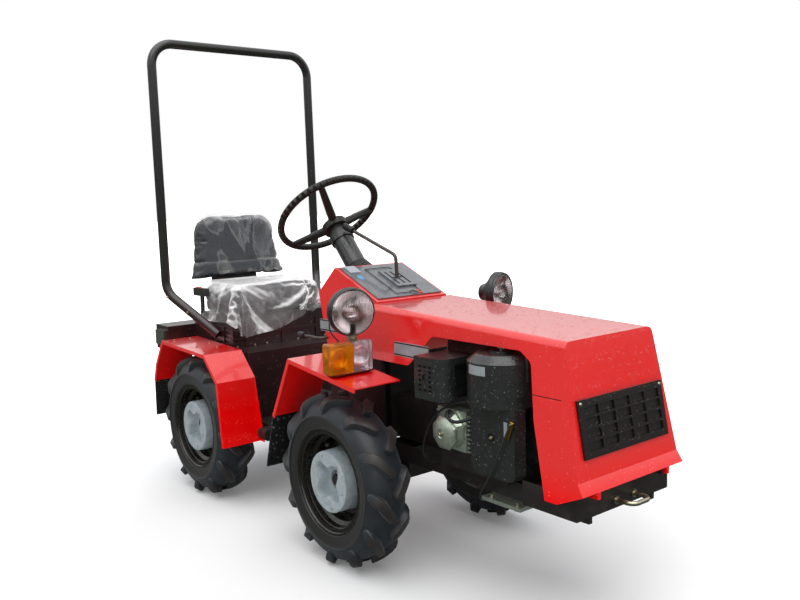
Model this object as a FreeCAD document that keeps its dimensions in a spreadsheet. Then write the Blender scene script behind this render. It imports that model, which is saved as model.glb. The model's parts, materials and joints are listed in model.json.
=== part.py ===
"""Small articulated four-wheel tractor with a roll bar, as a parametric document.

Frame: +X forward, +Y to the tractor's left, +Z up, millimetres. The origin is on the
ground, under the middle of the overall box.
"""
import FreeCAD, Part
import Sketcher
import math
import os

Vector = FreeCAD.Vector

# ---------------------------------------------------------------- driving dimensions
DIMENSIONS = [
    # wheels and axles
    ("front_axle_x", 260), ("wheelbase", 1030), ("track", 700),
    ("tyre_radius", 305), ("tyre_width", 160), ("tread_depth", 22), ("shoulder_half", 62),
    ("shoulder_drop", 21), ("sidewall_radius", 231),
    ("lug_count", 12), ("lug_drop", 9), ("lug_foot_half", 17), ("lug_top_half", 12),
    ("lug_elbow_half", 70), ("lug_sweep", 15),
    ("bead_radius", 164), ("rim_wall", 4),
    ("rim_half_width", 68), ("flange_radius", 187), ("flange_wall", 6),
    ("disc_offset", 5), ("disc_wall", 8), ("hub_radius", 122), ("hub_reach", 77),
    ("hub_barrel_radius", 60), ("hub_inboard", 70), ("hub_chamfer", 6), ("hub_end_wall", 37),
    ("pocket_radius", 30), ("pocket_circle", 52), ("pocket_depth", 30), ("hub_well_radius", 34),
    ("shaft_radius", 20), ("shaft_clearance", 0.05), ("axle_tube_radius", 40),
    ("running_gap", 5), ("axle_box_length", 140), ("axle_box_width", 220), ("axle_box_rise", 70),
    # frames and driveline
    ("rail_height", 55), ("rail_wall", 15), ("front_rail_half", 155), ("tyre_gap", 20),
    ("frame_pivot_gap", 105), ("bumper_side_gap", 19), ("plate_wall", 6),
    ("gearbox_front_x", 250), ("gearbox_half", 120), ("drive_case_half", 90),
    # loop at the nose
    ("loop_reach", 69), ("loop_bar_radius", 7), ("loop_half", 42), ("loop_bolt_radius", 13),
    ("loop_bend", 25),
    # engine
    ("engine_front_x", 900), ("engine_length", 300), ("engine_right_y", -190),
    ("engine_left_y", 150), ("head_length", 130), ("head_depth", 35),
    ("head_fin", 5), ("head_fin_gap", 9), ("head_fin_depth", 12),
    ("rocker_radius", 66), ("rocker_rim", 5), ("rocker_foot_radius", 62), ("rocker_top_radius", 42),
    ("rocker_depth", 25), ("rocker_sides", 8),
    ("fan_radius", 118), ("fan_depth", 75), ("fan_y", -20),
    ("muffler_outer_y", -300), ("muffler_inner_y", -150), ("muffler_round", 45),
    ("muffler_recess", 28), ("muffler_recess_side", 55), ("muffler_lid", 22),
    ("muffler_slots", 6), ("muffler_slot_pitch", 15), ("muffler_slot_high", 7),
    ("muffler_slot_long", 15), ("muffler_slot_deep", 6), ("muffler_column_pitch", 24),
    ("muffler_hole_radius", 15), ("muffler_hole_rear", 52),
    ("cleaner_y", -178), ("cleaner_radius", 105), ("cleaner_lip", 4), ("cleaner_lip_high", 14),
    ("cleaner_bevel", 28), ("cleaner_bevel_high", 22), ("cleaner_cap_radius", 34),
    ("cleaner_cap_high", 5), ("cleaner_stud_radius", 4), ("cleaner_stud_high", 22),
    ("intake_outer_y", -238), ("intake_round", 24),
    ("cable_inset", 20), ("cable_drop", 9), ("cable_radius", 3.5),
    ("mount_bar_half", 205), ("mount_bar_wall", 12),
    ("tank_right_y", -60), ("tank_left_y", 175), ("tank_foot", 20), ("tank_round", 25),
    # hood
    ("hood_rear_x", 251), ("hood_gap", 6), ("hood_top_half", 200), ("hood_low_half", 237),
    ("hood_wall", 3), ("hood_round", 22), ("opening_rear_run", 214), ("opening_slope_run", 329),
    ("hinge_reach", 15), ("hinge_pin_radius", 5), ("hinge_ear", 12), ("hinge_pitch", 150),
    ("hinge_clearance", 0.05), ("hinge_side_gap", 0.5), ("tab_rear", 9), ("tab_front", 22),
    ("tab_heel", 12), ("tab_rise", 70), ("tab_lean", 2), ("tab_nose", 30), ("tab_nose_rise", 20),
    ("grille_half", 195), ("grille_wall", 8),
    ("grille_border", 20), ("grille_bar", 7), ("grille_columns", 5), ("grille_rows", 4),
    ("grille_mesh", 2), ("opening_round", 28),
    # console and controls
    ("console_half", 165), ("console_top_x", -15), ("console_rear_x", -130),
    ("console_foot_x", -80), ("console_wall", 3),
    ("dash_wall", 5), ("dash_inset", 14), ("gate_length", 130), ("gate_width", 90), ("gate_rise", 8),
    ("gate_y", 30), ("gate_slot", 9), ("gate_slot_pitch", 27), ("gate_slot_long", 100),
    ("gate_slot_deep", 5),
    ("column_tilt", 42), ("column_place", 0.5624), ("column_radius", 42), ("column_length", 222),
    ("collar_radius", 48), ("collar_length", 26), ("collar_low", 178),
    ("boot_radius", 64), ("boot_length", 60), ("boot_ripples", 5), ("boot_ripple_depth", 7),
    ("steer_shaft_radius", 11), ("steer_hub_radius", 52), ("steer_neck_radius", 34),
    ("steer_neck_length", 16), ("steer_hub_length", 44), ("steer_rim_radius", 209),
    ("steer_tube_radius", 14), ("steer_dish", 78), ("spoke_foot_radius", 19),
    ("spoke_tip_radius", 13), ("spoke_count", 3), ("spoke_turn", -35), ("hub_shaft_gap", 6),
    ("lever_radius", 7), ("lever_bend", 28), ("lever_rise", 88), ("lever_lean", 6),
    ("lever_run", 220), ("lever_climb", 180), ("lever_side", 40),
    ("grip_radius", 13), ("grip_length", 50),
    ("side_lever_rise", 40), ("side_lever_out", 35), ("side_lever_run", 110),
    ("side_lever_radius", 5.6), ("side_lever_bend", 21), ("knob_length", 36),
    ("support_rear_x", 60), ("support_wall", 12),
    # fenders, flaps, lamps
    ("fender_cover", 20), ("front_inner_cover", 10), ("rear_inner_gap", 5), ("fender_wall", 4),
    ("fender_lip", 15), ("rear_flange", 30),
    ("flap_wall", 8), ("flap_inset", 6), ("flap_overlap", 22), ("fender_arm_margin", 40),
    ("lamp_y", 350), ("lamp_radius", 82), ("lamp_depth", 95),
    ("lamp_back_radius", 30), ("lamp_neck_radius", 38), ("lamp_neck_depth", 71),
    ("lamp_waist_radius", 70), ("lamp_waist_depth", 33), ("lamp_band", 19),
    ("lamp_stem_radius", 9), ("lamp_stem_setback", 26), ("lamp_rim", 7), ("lamp_glass_inset", 8),
    ("lamp_turn", 15), ("lamp_wire_radius", 2.5),
    ("indicator_inner", 280), ("indicator_outer", 460), ("indicator_depth", 56),
    ("indicator_height", 108), ("indicator_round", 16), ("indicator_plate", 4),
    ("indicator_plate_side", 14), ("lamp_rise", 98),
    # joint between the halves
    ("pivot_pin_radius", 15), ("pivot_barrel_radius", 38), ("fork_wall", 15), ("fork_half", 40),
    ("fork_plate_half", 60),
    # rear body
    ("rear_wall_margin", 12), ("sheet_wall", 5), ("rear_arm_width", 30), ("rear_arm_height", 11),
    ("rib_count", 4), ("rib_pitch", 19), ("rib_high", 8), ("rib_deep", 6), ("rib_side_long", 60),
    ("rib_front_long", 60), ("rib_top_gap", 8), ("lattice_bar", 12),
    ("step_inner", 60), ("step_outer", 310), ("step_high", 46),
    ("step_round", 14),
    ("cargo_half", 385), ("tail_lamp_depth", 15), ("tail_lamp_border", 22),
    ("drawbar_half", 40), ("drawbar_wall", 12), ("drawbar_hole_radius", 10.5),
    ("drawbar_hole_setback", 28),
    # seat
    ("seat_half", 238), ("cushion_round", 45), ("back_thickness", 80), ("back_half", 242),
    ("back_top_half", 202), ("back_height", 316), ("back_gap", 10), ("back_lean", 8),
    ("back_round", 85),
    ("bracket_wall", 8), ("buckle_length", 80), ("buckle_width", 20),
    # roll bar
    ("bar_radius", 20), ("bar_half", 405), ("bar_corner", 100), ("bar_foot_gap", 18),
    ("bar_foot_plate", 70),
]
# places along the front wheels' mudguards, forward of the front axle
FROM_FRONT_AXLE = [
    ("front_top_x", 220), ("lamp_front_x", 102), ("indicator_x", 80),
]
# places along the nose, forward of the engine's front face
FROM_ENGINE = [
    ("bumper_rear_x", 80), ("bumper_front_x", 281), ("rocker_x", -210), ("muffler_front_x", -170),
    ("cleaner_x", -34), ("intake_rear_x", -110), ("intake_front_x", 72),
    ("mount_bar_rear_x", -100), ("mount_bar_front_x", 60), ("tank_rear_x", -420),
    ("tank_front_x", -40), ("hood_front_x", 230), ("hood_crease_x", 300), ("hood_lip_x", 320),
    ("hood_nose_low_x", 231), ("opening_front_x", 65), ("opening_corner_x", 110),
    ("opening_waist_x", 131), ("opening_foot_x", 187),
]
# places along the rear body, forward of the rear axle
FROM_REAR_AXLE = [
    ("rear_wall_x", 230), ("rear_arm_x", -65), ("drawbar_tip_x", -480),
    ("seat_front_x", 80), ("seat_rear_x", -265), ("buckle_x", -230),
    ("bar_x", -253), ("bar_bend_x", -238), ("bar_foot_x", -25),
    ("step_rear_x", 367), ("step_front_x", 425),
]
# heights above the top of the frame rails
ABOVE_RAILS = [
    ("bumper_low_z", -33), ("bumper_high_z", 40), ("gearbox_high_z", 290),
    ("drive_case_high_z", 160), ("engine_high_z", 240), ("rocker_z", 140), ("fan_z", 128),
    ("muffler_high_z", 375), ("cleaner_low_z", 250), ("cleaner_high_z", 403), ("intake_low_z", 30),
    ("tank_high_z", 420), ("hood_rear_z", 500), ("hood_front_z", 465), ("hood_crease_z", 86),
    ("hood_lip_z", 53), ("hood_side_low_z", 311), ("hood_nose_low_z", 13),
    ("opening_high_z", 422), ("opening_corner_z", 393), ("opening_waist_z", 231),
    ("grille_low_z", 142), ("grille_high_z", 303), ("console_front_z", 505),
    ("console_top_z", 615), ("console_rear_z", 515), ("console_low_z", 302),
    ("front_top_z", 272), ("front_bend_z", 319), ("front_tail_z", 90), ("front_flap_low_z", -115),
    ("pivot_low_z", -50), ("pivot_high_z", 50), ("rear_wall_low_z", -100),
    ("rear_wall_high_z", 235), ("seat_box_high_z", 335), ("cargo_high_z", 312),
    ("seat_pan_high_z", 370), ("cushion_high_z", 500),
    ("buckle_low_z", 450), ("buckle_high_z", 485),
    ("bar_top_z", 1580), ("bar_bend_z", 478),
]
# places round a tyre: forward of its front, behind its rear, above its top
AHEAD_OF_REAR_TYRE = [
    ("rear_fender_toe_x", 25), ("rear_fender_knee_x", -4), ("rear_fender_nose_x", -111),
]
BEHIND_FRONT_TYRE = [
    ("front_bend_x", -128), ("front_tail_x", -5), ("front_flap_low_x", 63),
    ("arm_rear_x", -195), ("arm_front_x", -235),
]
BEHIND_REAR_TYRE = [
    ("rear_fender_tail_x", -85), ("rear_back_x", -4), ("rear_back_low_x", 25),
    ("rear_flap_low_x", 37), ("seat_box_rear_x", -15), ("rear_rail_rear_x", 115),
    ("cargo_rear_x", 120),
]
ABOVE_TYRE = [
    ("rear_fender_toe_z", -331), ("rear_fender_knee_z", -65), ("rear_fender_nose_z", 38),
    ("rear_fender_tail_z", 53), ("rear_back_z", -64), ("rear_back_low_z", -145),
    ("rear_flap_low_z", -310), ("cargo_low_z", -10), ("bar_foot_z", 80),
]

# steps along each cable from where it starts: forward, to the left or outwards, and up
CABLE_STEPS = [
    (2, 0, 0), (-55, -12, -4), (-112, -17, -26), (-162, -18, -62), (-200, -18, -110),
    (-226, -18, -162), (-241, -10, -212), (-243, 16, -248), (-238, 65, -262),
]
LAMP_WIRE_STEPS = [
    (0, 0, 0), (-14, 20, -13), (-8, 53, -30), (6, 66, -62), (26, 62, -86), (44, 52, -101),
]

document = FreeCAD.newDocument("small_tractor")
sheet = document.addObject("Spreadsheet::Sheet", "dims")


class Size:
    """A number with the spreadsheet expression that it comes from."""

    def __init__(self, text, number):
        self.text = text
        self.number = number

    def __add__(self, other):
        other = as_size(other)
        return Size(f"({self.text} + {other.text})", self.number + other.number)

    def __sub__(self, other):
        other = as_size(other)
        return Size(f"({self.text} - {other.text})", self.number - other.number)

    def __mul__(self, other):
        other = as_size(other)
        return Size(f"({self.text} * {other.text})", self.number * other.number)

    def __truediv__(self, other):
        other = as_size(other)
        return Size(f"({self.text} / {other.text})", self.number / other.number)

    def __neg__(self):
        return Size(f"(0 - {self.text})", -self.number)

    def __float__(self):
        return float(self.number)

    __radd__ = __add__
    __rmul__ = __mul__


def as_size(value):
    return value if isinstance(value, Size) else Size(repr(float(value)), float(value))


class Dimensions:
    """Each driving dimension, by its name."""


dim = Dimensions()
PLACES = (FROM_FRONT_AXLE + FROM_ENGINE + FROM_REAR_AXLE + ABOVE_RAILS
          + AHEAD_OF_REAR_TYRE + BEHIND_FRONT_TYRE + BEHIND_REAR_TYRE + ABOVE_TYRE)
for row, (name, number) in enumerate(DIMENSIONS + PLACES, start=1):
    sheet.set(f"A{row}", name)
    sheet.set(f"B{row}", str(number))
    sheet.setAlias(f"B{row}", name)
    setattr(dim, name, Size(f"dims.{name}", float(number)))
document.recompute()

RIGHT, LEFT = -1, 1
SIDES = (("right", RIGHT), ("left", LEFT))
pieces = {}

rear_axle_x = dim.front_axle_x - dim.wheelbase
pivot_x = dim.front_axle_x - dim.wheelbase / 2
wheel_y = dim.track / 2
axle_z = dim.tyre_radius
rail_low_z = axle_z + dim.axle_tube_radius
rail_high_z = rail_low_z + dim.rail_height
tyre_inner_y = wheel_y - dim.tyre_width / 2
rear_rail_half = tyre_inner_y - dim.tyre_gap
fender_outer = wheel_y + dim.tyre_width / 2 + dim.fender_cover
engine_rear_x = dim.engine_front_x - dim.engine_length


def measured_from(start, places, way=1):
    """Turn a list of distances, forward or up unless the way is -1, into places in the frame."""
    for place, _ in places:
        setattr(dim, place, start + getattr(dim, place) * way)


measured_from(dim.front_axle_x, FROM_FRONT_AXLE)
measured_from(dim.engine_front_x, FROM_ENGINE)
measured_from(rear_axle_x, FROM_REAR_AXLE)
measured_from(rail_high_z, ABOVE_RAILS)
measured_from(rear_axle_x + dim.tyre_radius, AHEAD_OF_REAR_TYRE)
measured_from(dim.front_axle_x - dim.tyre_radius, BEHIND_FRONT_TYRE, way=-1)
measured_from(rear_axle_x - dim.tyre_radius, BEHIND_REAR_TYRE, way=-1)
measured_from(dim.tyre_radius * 2, ABOVE_TYRE)
front_rail_rear_x = pivot_x + dim.frame_pivot_gap
bumper_half = dim.hood_low_half - dim.hood_wall - dim.bumper_side_gap
hood_hinge_x = dim.bumper_front_x + dim.hinge_reach
hood_hinge_z = dim.bumper_high_z
loop_tip_x = dim.bumper_front_x + dim.loop_reach
front_fender_inner = tyre_inner_y - dim.front_inner_cover
rear_fender_inner = tyre_inner_y + dim.rear_inner_gap
fender_arm_reach = fender_outer - dim.fender_arm_margin
opening_rear_x = dim.hood_rear_x + dim.opening_rear_run
opening_slope_x = dim.hood_rear_x + dim.opening_slope_run
drawbar_hole_x = dim.drawbar_tip_x + dim.drawbar_hole_setback
back_low_z = dim.cushion_high_z + dim.back_gap


def fender_top_at(x):
    """Height of the front fender's top face at a place along it."""
    slope = (dim.front_top_z - dim.front_bend_z) / (dim.front_top_x - dim.front_bend_x)
    return dim.front_bend_z + (x - dim.front_bend_x) * slope


indicator_low_z = fender_top_at(dim.indicator_x - dim.indicator_depth / 2)
indicator_high_z = indicator_low_z + dim.indicator_height
lamp_z = indicator_high_z + dim.lamp_rise


# ---------------------------------------------------------------- building helpers
def bind(item, place, size):
    item.setExpression(place, as_size(size).text)


def bind_place(item, x, y, z):
    bind(item, "Placement.Base.x", x)
    bind(item, "Placement.Base.y", y)
    bind(item, "Placement.Base.z", z)


def block(name, x, y, z):
    """A box between two places along each axis, given in rising order."""
    item = document.addObject("Part::Box", name)
    bind(item, "Length", as_size(x[1]) - x[0])
    bind(item, "Width", as_size(y[1]) - y[0])
    bind(item, "Height", as_size(z[1]) - z[0])
    bind_place(item, x[0], y[0], z[0])
    return item


def mirrored(span, side):
    """A span of distances from the middle plane, put on one side of it in rising order."""
    low, high = as_size(span[0]) * side, as_size(span[1]) * side
    return (high, low) if side == RIGHT else (low, high)


TURNS = {
    "x": FreeCAD.Rotation(Vector(0, 1, 0), 90),
    "y": FreeCAD.Rotation(Vector(1, 0, 0), -90),
    "z": FreeCAD.Rotation(),
}


def rod(name, axis, radius, length, start):
    """A cylinder from a starting place along one axis of the frame."""
    item = document.addObject("Part::Cylinder", name)
    item.Placement = FreeCAD.Placement(Vector(), TURNS[axis])
    bind(item, "Radius", radius)
    bind(item, "Height", length)
    bind_place(item, *start)
    return item


def join(name, items):
    item = document.addObject("Part::MultiFuse", name)
    item.Shapes = items
    return item


def cut(name, base, tools):
    item = document.addObject("Part::Cut", name)
    item.Base = base
    item.Tool = tools[0] if len(tools) == 1 else join(name + "_tools", tools)
    return item


def group(name, items):
    """Like pieces on both sides, kept as separate solids of one node."""
    item = document.addObject("Part::Compound", name)
    item.Links = items
    return item


def finished(name, item):
    """Give a sub-part its own label and keep it for export."""
    item.Label = name
    pieces[name] = item
    return item


def origin_plane(body, role):
    return [feature for feature in body.Origin.OriginFeatures if feature.Role == role][0]


def closed_sketch(body, role, points):
    """A closed outline of straight edges whose corners are bound to the sheet."""
    sketch = body.newObject("Sketcher::SketchObject", body.Name + "_sketch")
    sketch.AttachmentSupport = [(origin_plane(body, role), "")]
    sketch.MapMode = "FlatFace"
    corners = [Vector(float(a), float(b), 0) for a, b in points]
    count = len(corners)
    for index in range(count):
        edge = Part.LineSegment(corners[index], corners[(index + 1) % count])
        sketch.addGeometry(edge, False)
    for index in range(count):
        after = (index + 1) % count
        sketch.addConstraint(Sketcher.Constraint("Coincident", index, 2, after, 1))
    for index, point in enumerate(points):
        for kind, value in zip(("DistanceX", "DistanceY"), point):
            place = sketch.addConstraint(
                Sketcher.Constraint(kind, -1, 1, index, 1, float(value)))
            bind(sketch, f"Constraints[{place}]", value)
    return sketch


def turned(name, points, place):
    """An outline of (distance along Y, radius), revolved about an axis along Y."""
    body = document.addObject("PartDesign::Body", name)
    sketch = closed_sketch(body, "YZ_Plane", points)
    revolve = body.newObject("PartDesign::Revolution", name + "_revolution")
    revolve.Profile = sketch
    revolve.ReferenceAxis = (sketch, ["H_Axis"])
    revolve.Angle = 360
    bind_place(body, *place)
    return body


def shaped(name, shape):
    """A feature whose shape is made here, from the sheet's values."""
    item = document.addObject("Part::Feature", name)
    item.Shape = shape
    return item


def plate_along(points, wall):
    """A bent plate's side view: the outer line, and the same line moved inwards by its wall.

    The line runs so that the plate's inside is on its right hand.
    """
    line = [(float(a), float(b)) for a, b in points]
    return [*line, *reversed(moved_line(line, float(wall)))]


def moved_line(line, distance):
    """The line moved to its right hand, with its corners mitred."""
    moved = []
    for index, point in enumerate(line):
        before = direction(line[index - 1], point) if index > 0 else None
        after = direction(point, line[index + 1]) if index < len(line) - 1 else None
        before = before or after
        after = after or before
        across = (before[1] + after[1], -before[0] - after[0])
        share = distance / (1 + before[0] * after[0] + before[1] * after[1])
        moved.append((point[0] + across[0] * share, point[1] + across[1] * share))
    return moved


def direction(start, end):
    length = math.hypot(end[0] - start[0], end[1] - start[1])
    return ((end[0] - start[0]) / length, (end[1] - start[1]) / length)


def inset(points, wall):
    """A closed outline, running clockwise, moved inwards by a wall."""
    line = [(float(a), float(b)) for a, b in points]
    closed = [line[-1], *line, line[0]]
    return moved_line(closed, float(wall))[1:-1]


def prism(points, y):
    """A solid with a side-view outline in X and Z, between two places along Y."""
    corners = [Vector(float(a), float(y[0]), float(b)) for a, b in points]
    face = Part.Face(Part.makePolygon([*corners, corners[0]]))
    return face.extrude(Vector(0, float(y[1]) - float(y[0]), 0))


def bent_tube(points, radius, corner):
    """A round tube along straight runs joined by tangent arcs."""
    path, start = [], points[0]
    for index in range(1, len(points) - 1):
        here = points[index]
        back = (points[index - 1] - here).normalize()
        ahead = (points[index + 1] - here).normalize()
        half = back.getAngle(ahead) / 2
        reach = corner / math.tan(half)
        first, last = here + back * reach, here + ahead * reach
        middle_way = (back + ahead).normalize()
        middle = here + middle_way * (corner / math.sin(half) - corner)
        path.append(Part.LineSegment(start, first).toShape())
        path.append(Part.Arc(first, middle, last).toShape())
        start = last
    path.append(Part.LineSegment(start, points[-1]).toShape())
    wire = Part.Wire(path)
    circle = Part.makeCircle(radius, points[0], points[1] - points[0])
    return wire.makePipeShell([Part.Wire(circle)], True, True)


def flexible_tube(name, points, radius):
    """A cable's tube: straight runs joined by arcs as large as the runs beside them allow."""
    path, start, bends, length = [], points[0], [], 0.0
    for index in range(1, len(points) - 1):
        here = points[index]
        runs = ((points[index - 1] - here).Length, (points[index + 1] - here).Length)
        back = (points[index - 1] - here).normalize()
        ahead = (points[index + 1] - here).normalize()
        half = back.getAngle(ahead) / 2
        reach = min(runs) * 0.45
        corner = reach * math.tan(half)
        first, last = here + back * reach, here + ahead * reach
        middle_way = (back + ahead).normalize()
        middle = here + middle_way * (corner / math.sin(half) - corner)
        path.append(Part.LineSegment(start, first).toShape())
        path.append(Part.Arc(first, middle, last).toShape())
        start = last
        bends.append(round(corner))
    path.append(Part.LineSegment(start, points[-1]).toShape())
    wire = Part.Wire(path)
    circle = Part.makeCircle(radius, points[0], points[1] - points[0])
    tube = wire.makePipeShell([Part.Wire(circle)], True, True)
    share = tube.Volume / (math.pi * radius * radius * wire.Length)
    print(f"{name}: {wire.Length:.0f} mm long, bend radii {bends}, volume share {share:.3f}")
    return tube


# ---------------------------------------------------------------- wheels
def ring_point(radius, along, turn):
    """A place round a wheel's axle, at a turn in degrees from straight ahead."""
    angle = math.radians(turn)
    return Vector(radius * math.cos(angle), along, radius * math.sin(angle))


def faceted(faces):
    """A solid bounded by flat faces, each given by its corners."""
    flat = [Part.Face(Part.makePolygon([*corners, corners[0]])) for corners in faces]
    return Part.Solid(Part.Shell(flat))


def treaded_tyre():
    """A whole tyre round the origin, with flat facets and two staggered rows of slanting bars.

    Each row is a place across the tyre, the radii of its case and of its bars, and its turn.
    The lines along the facets pass both edges of every bar, on either side of the tyre.
    """
    count = int(float(dim.lug_count))
    pitch = 360 / count
    top = float(dim.tyre_radius)
    crown = top - float(dim.tread_depth)
    bead_half = float(dim.rim_half_width - dim.flange_wall)
    side_radius, sweep = float(dim.sidewall_radius), float(dim.lug_sweep)
    foot = math.degrees(float(dim.lug_foot_half) / top)
    tip = math.degrees(float(dim.lug_top_half) / top)
    lines = [-foot, foot, pitch / 2 - foot, pitch / 2 + foot]
    case = [(0.0, crown, 0.0),
            (float(dim.shoulder_half), crown - float(dim.shoulder_drop), sweep),
            (float(dim.tyre_width / 2), side_radius, sweep),
            (bead_half, float(dim.flange_radius + dim.flange_wall), sweep),
            (bead_half, float(dim.bead_radius) / math.cos(math.radians(pitch / 4 - foot)), sweep)]
    bar_top = [(0.0, top, 0.0),
               (float(dim.lug_elbow_half), top - float(dim.lug_drop), sweep), case[2]]
    faces = []
    for column in range(count * 4):
        first = column // 4 * pitch + lines[column % 4]
        last = (column + 1) // 4 * pitch + lines[(column + 1) % 4]
        middle = (first + last) / 2
        bore = []
        for side in (RIGHT, LEFT):
            near = [ring_point(r, w * side, first + turn) for w, r, turn in case]
            far = [ring_point(r, w * side, last + turn) for w, r, turn in case]
            bore.append([near[-1], far[-1]])
            raised = column % 4 == (0 if side == RIGHT else 2)
            if raised:
                near_top = [ring_point(r, w * side, middle - tip + turn) for w, r, turn in bar_top]
                far_top = [ring_point(r, w * side, middle + tip + turn) for w, r, turn in bar_top]
                near_top[-1], far_top[-1] = near[2], far[2]
                faces.append([near[0], near_top[0], far_top[0], far[0]])
                faces += [[near_top[0], near_top[1], far_top[1]],
                          [near_top[0], far_top[1], far_top[0]],
                          [near_top[1], near_top[2], far_top[2]],
                          [near_top[1], far_top[2], far_top[1]]]
                for low, high in ((near, near_top), (far, far_top)):
                    faces += [[low[0], low[1], high[1]], [low[0], high[1], high[0]],
                              [low[1], low[2], high[1]]]
            else:
                faces += [[near[0], near[1], far[1]], [near[0], far[1], far[0]],
                          [near[1], near[2], far[2], far[1]]]
            for row in (2, 3):
                faces.append([near[row], near[row + 1], far[row + 1], far[row]])
        faces.append([*bore[0], *reversed(bore[1])])
    return faceted(faces)


def make_tyre(name, place):
    """The treaded tyre at its wheel's place."""
    shape = tyre_shape.copy()
    shape.translate(Vector(*[float(value) for value in place]))
    finished(name, shaped(name, shape))


tyre_shape = treaded_tyre()


def make_wheel(name, side, place):
    """Steel rim with its disc, and the cast hub drum on the outer side."""
    rim = dim.rim_half_width
    barrel_inner = dim.bead_radius - dim.rim_wall
    disc_out = dim.disc_offset + dim.disc_wall
    outline = [
        (-rim, dim.flange_radius), (dim.flange_wall - rim, dim.flange_radius),
        (dim.flange_wall - rim, dim.bead_radius), (rim - dim.flange_wall, dim.bead_radius),
        (rim - dim.flange_wall, dim.flange_radius), (rim, dim.flange_radius),
        (rim, barrel_inner), (disc_out, barrel_inner),
        (disc_out, dim.hub_radius), (dim.hub_reach - dim.hub_chamfer, dim.hub_radius),
        (dim.hub_reach, dim.hub_radius - dim.hub_chamfer), (dim.hub_reach, 0),
        (dim.hub_reach - dim.hub_end_wall, 0),
        (dim.hub_reach - dim.hub_end_wall, dim.shaft_radius + dim.shaft_clearance),
        (-dim.hub_inboard, dim.shaft_radius + dim.shaft_clearance),
        (-dim.hub_inboard, dim.hub_barrel_radius), (dim.disc_offset, dim.hub_barrel_radius),
        (dim.disc_offset, barrel_inner), (-rim, barrel_inner),
    ]
    outline = [(w * side, r) for w, r in outline]
    body = turned(name + "_turned", outline, place)
    x, y, z = place
    floor_y = y + (dim.hub_reach - dim.pocket_depth) * side
    start_y = floor_y if side == LEFT else y + dim.hub_reach * side
    tools = [rod(name + "_well", "y", dim.hub_well_radius, dim.pocket_depth, (x, start_y, z))]
    for across in (-1, 1):
        for up in (-1, 1):
            offset = dim.pocket_circle * math.sqrt(0.5)
            spot = (x + offset * across, start_y, z + offset * up)
            tools.append(rod(f"{name}_pocket_{len(tools)}", "y", dim.pocket_radius,
                             dim.pocket_depth, spot))
    finished(name, cut(name, body, tools))


for end, axle_x in (("front", dim.front_axle_x), ("rear", rear_axle_x)):
    for side_name, side in SIDES:
        place = (axle_x, wheel_y * side, axle_z)
        make_tyre(f"tyre_{end}_{side_name}", place)
        make_wheel(f"wheel_{end}_{side_name}", side, place)


# ---------------------------------------------------------------- axles
def make_axle(name, x, rail_half):
    """Casing with the drive at its middle, pads under the rails, and the two wheel shafts."""
    tube_half = wheel_y - dim.hub_inboard - dim.running_gap
    shaft_half = wheel_y + dim.hub_reach - dim.hub_end_wall - dim.running_gap
    half_box = dim.axle_box_length / 2
    items = [
        rod(name + "_tube", "y", dim.axle_tube_radius, tube_half * 2, (x, -tube_half, axle_z)),
        rod(name + "_shaft", "y", dim.shaft_radius, shaft_half * 2, (x, -shaft_half, axle_z)),
        block(name + "_box", (x - half_box, x + half_box),
              (-dim.axle_box_width / 2, dim.axle_box_width / 2),
              (axle_z - dim.axle_tube_radius, axle_z + dim.axle_box_rise)),
    ]
    for side_name, side in SIDES:
        items.append(block(f"{name}_pad_{side_name}", (x - half_box / 2, x + half_box / 2),
                           mirrored((rail_half - dim.rail_wall, rail_half), side),
                           (axle_z, rail_low_z)))
    finished(name, join(name, items))


make_axle("front_axle", dim.front_axle_x, dim.front_rail_half)
make_axle("rear_axle", rear_axle_x, rear_rail_half)


# ---------------------------------------------------------------- front frame and nose
def make_frame(name, rail_half, rear_x, front_x, cross_places):
    """Two rails joined by cross members."""
    items = []
    for side_name, side in SIDES:
        items.append(block(f"{name}_rail_{side_name}", (rear_x, front_x),
                           mirrored((rail_half - dim.rail_wall, rail_half), side),
                           (rail_low_z, rail_high_z)))
    for index, x in enumerate(cross_places):
        items.append(block(f"{name}_cross_{index}", (x, x + dim.rail_wall),
                           (-rail_half, rail_half), (rail_low_z, rail_high_z)))
    finished(name, join(name, items))


bumper_inner_x = dim.bumper_front_x - dim.plate_wall
make_frame("front_frame", dim.front_rail_half, front_rail_rear_x, bumper_inner_x,
           [front_rail_rear_x, dim.mount_bar_rear_x, dim.bumper_rear_x])

bumper_shell = block("bumper_shell", (dim.bumper_rear_x, dim.bumper_front_x),
                     (-bumper_half, bumper_half), (dim.bumper_low_z, dim.bumper_high_z))
bumper_space = block("bumper_space", (dim.bumper_rear_x - dim.plate_wall, bumper_inner_x),
                     (dim.plate_wall - bumper_half, bumper_half - dim.plate_wall),
                     (dim.bumper_low_z - dim.plate_wall, dim.bumper_high_z + dim.plate_wall))
bumper_box = cut("bumper_box", bumper_shell, [bumper_space])
ears = []
for side_name, side in SIDES:
    inner = dim.hinge_pitch - dim.hinge_ear / 2
    ears.append(block(f"hinge_ear_{side_name}",
                      (dim.bumper_front_x, hood_hinge_x + dim.hinge_pin_radius * 2),
                      mirrored((inner, inner + dim.hinge_ear), side),
                      (hood_hinge_z - dim.hinge_pin_radius * 2,
                       hood_hinge_z + dim.hinge_pin_radius * 2)))
    ears.append(rod(f"hinge_pin_{side_name}", "y", dim.hinge_pin_radius, dim.hinge_ear * 3,
                    (hood_hinge_x,
                     dim.hinge_pitch * side - dim.hinge_ear * 1.5, hood_hinge_z)))
finished("front_bumper", join("front_bumper", [bumper_box, *ears]))

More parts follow.
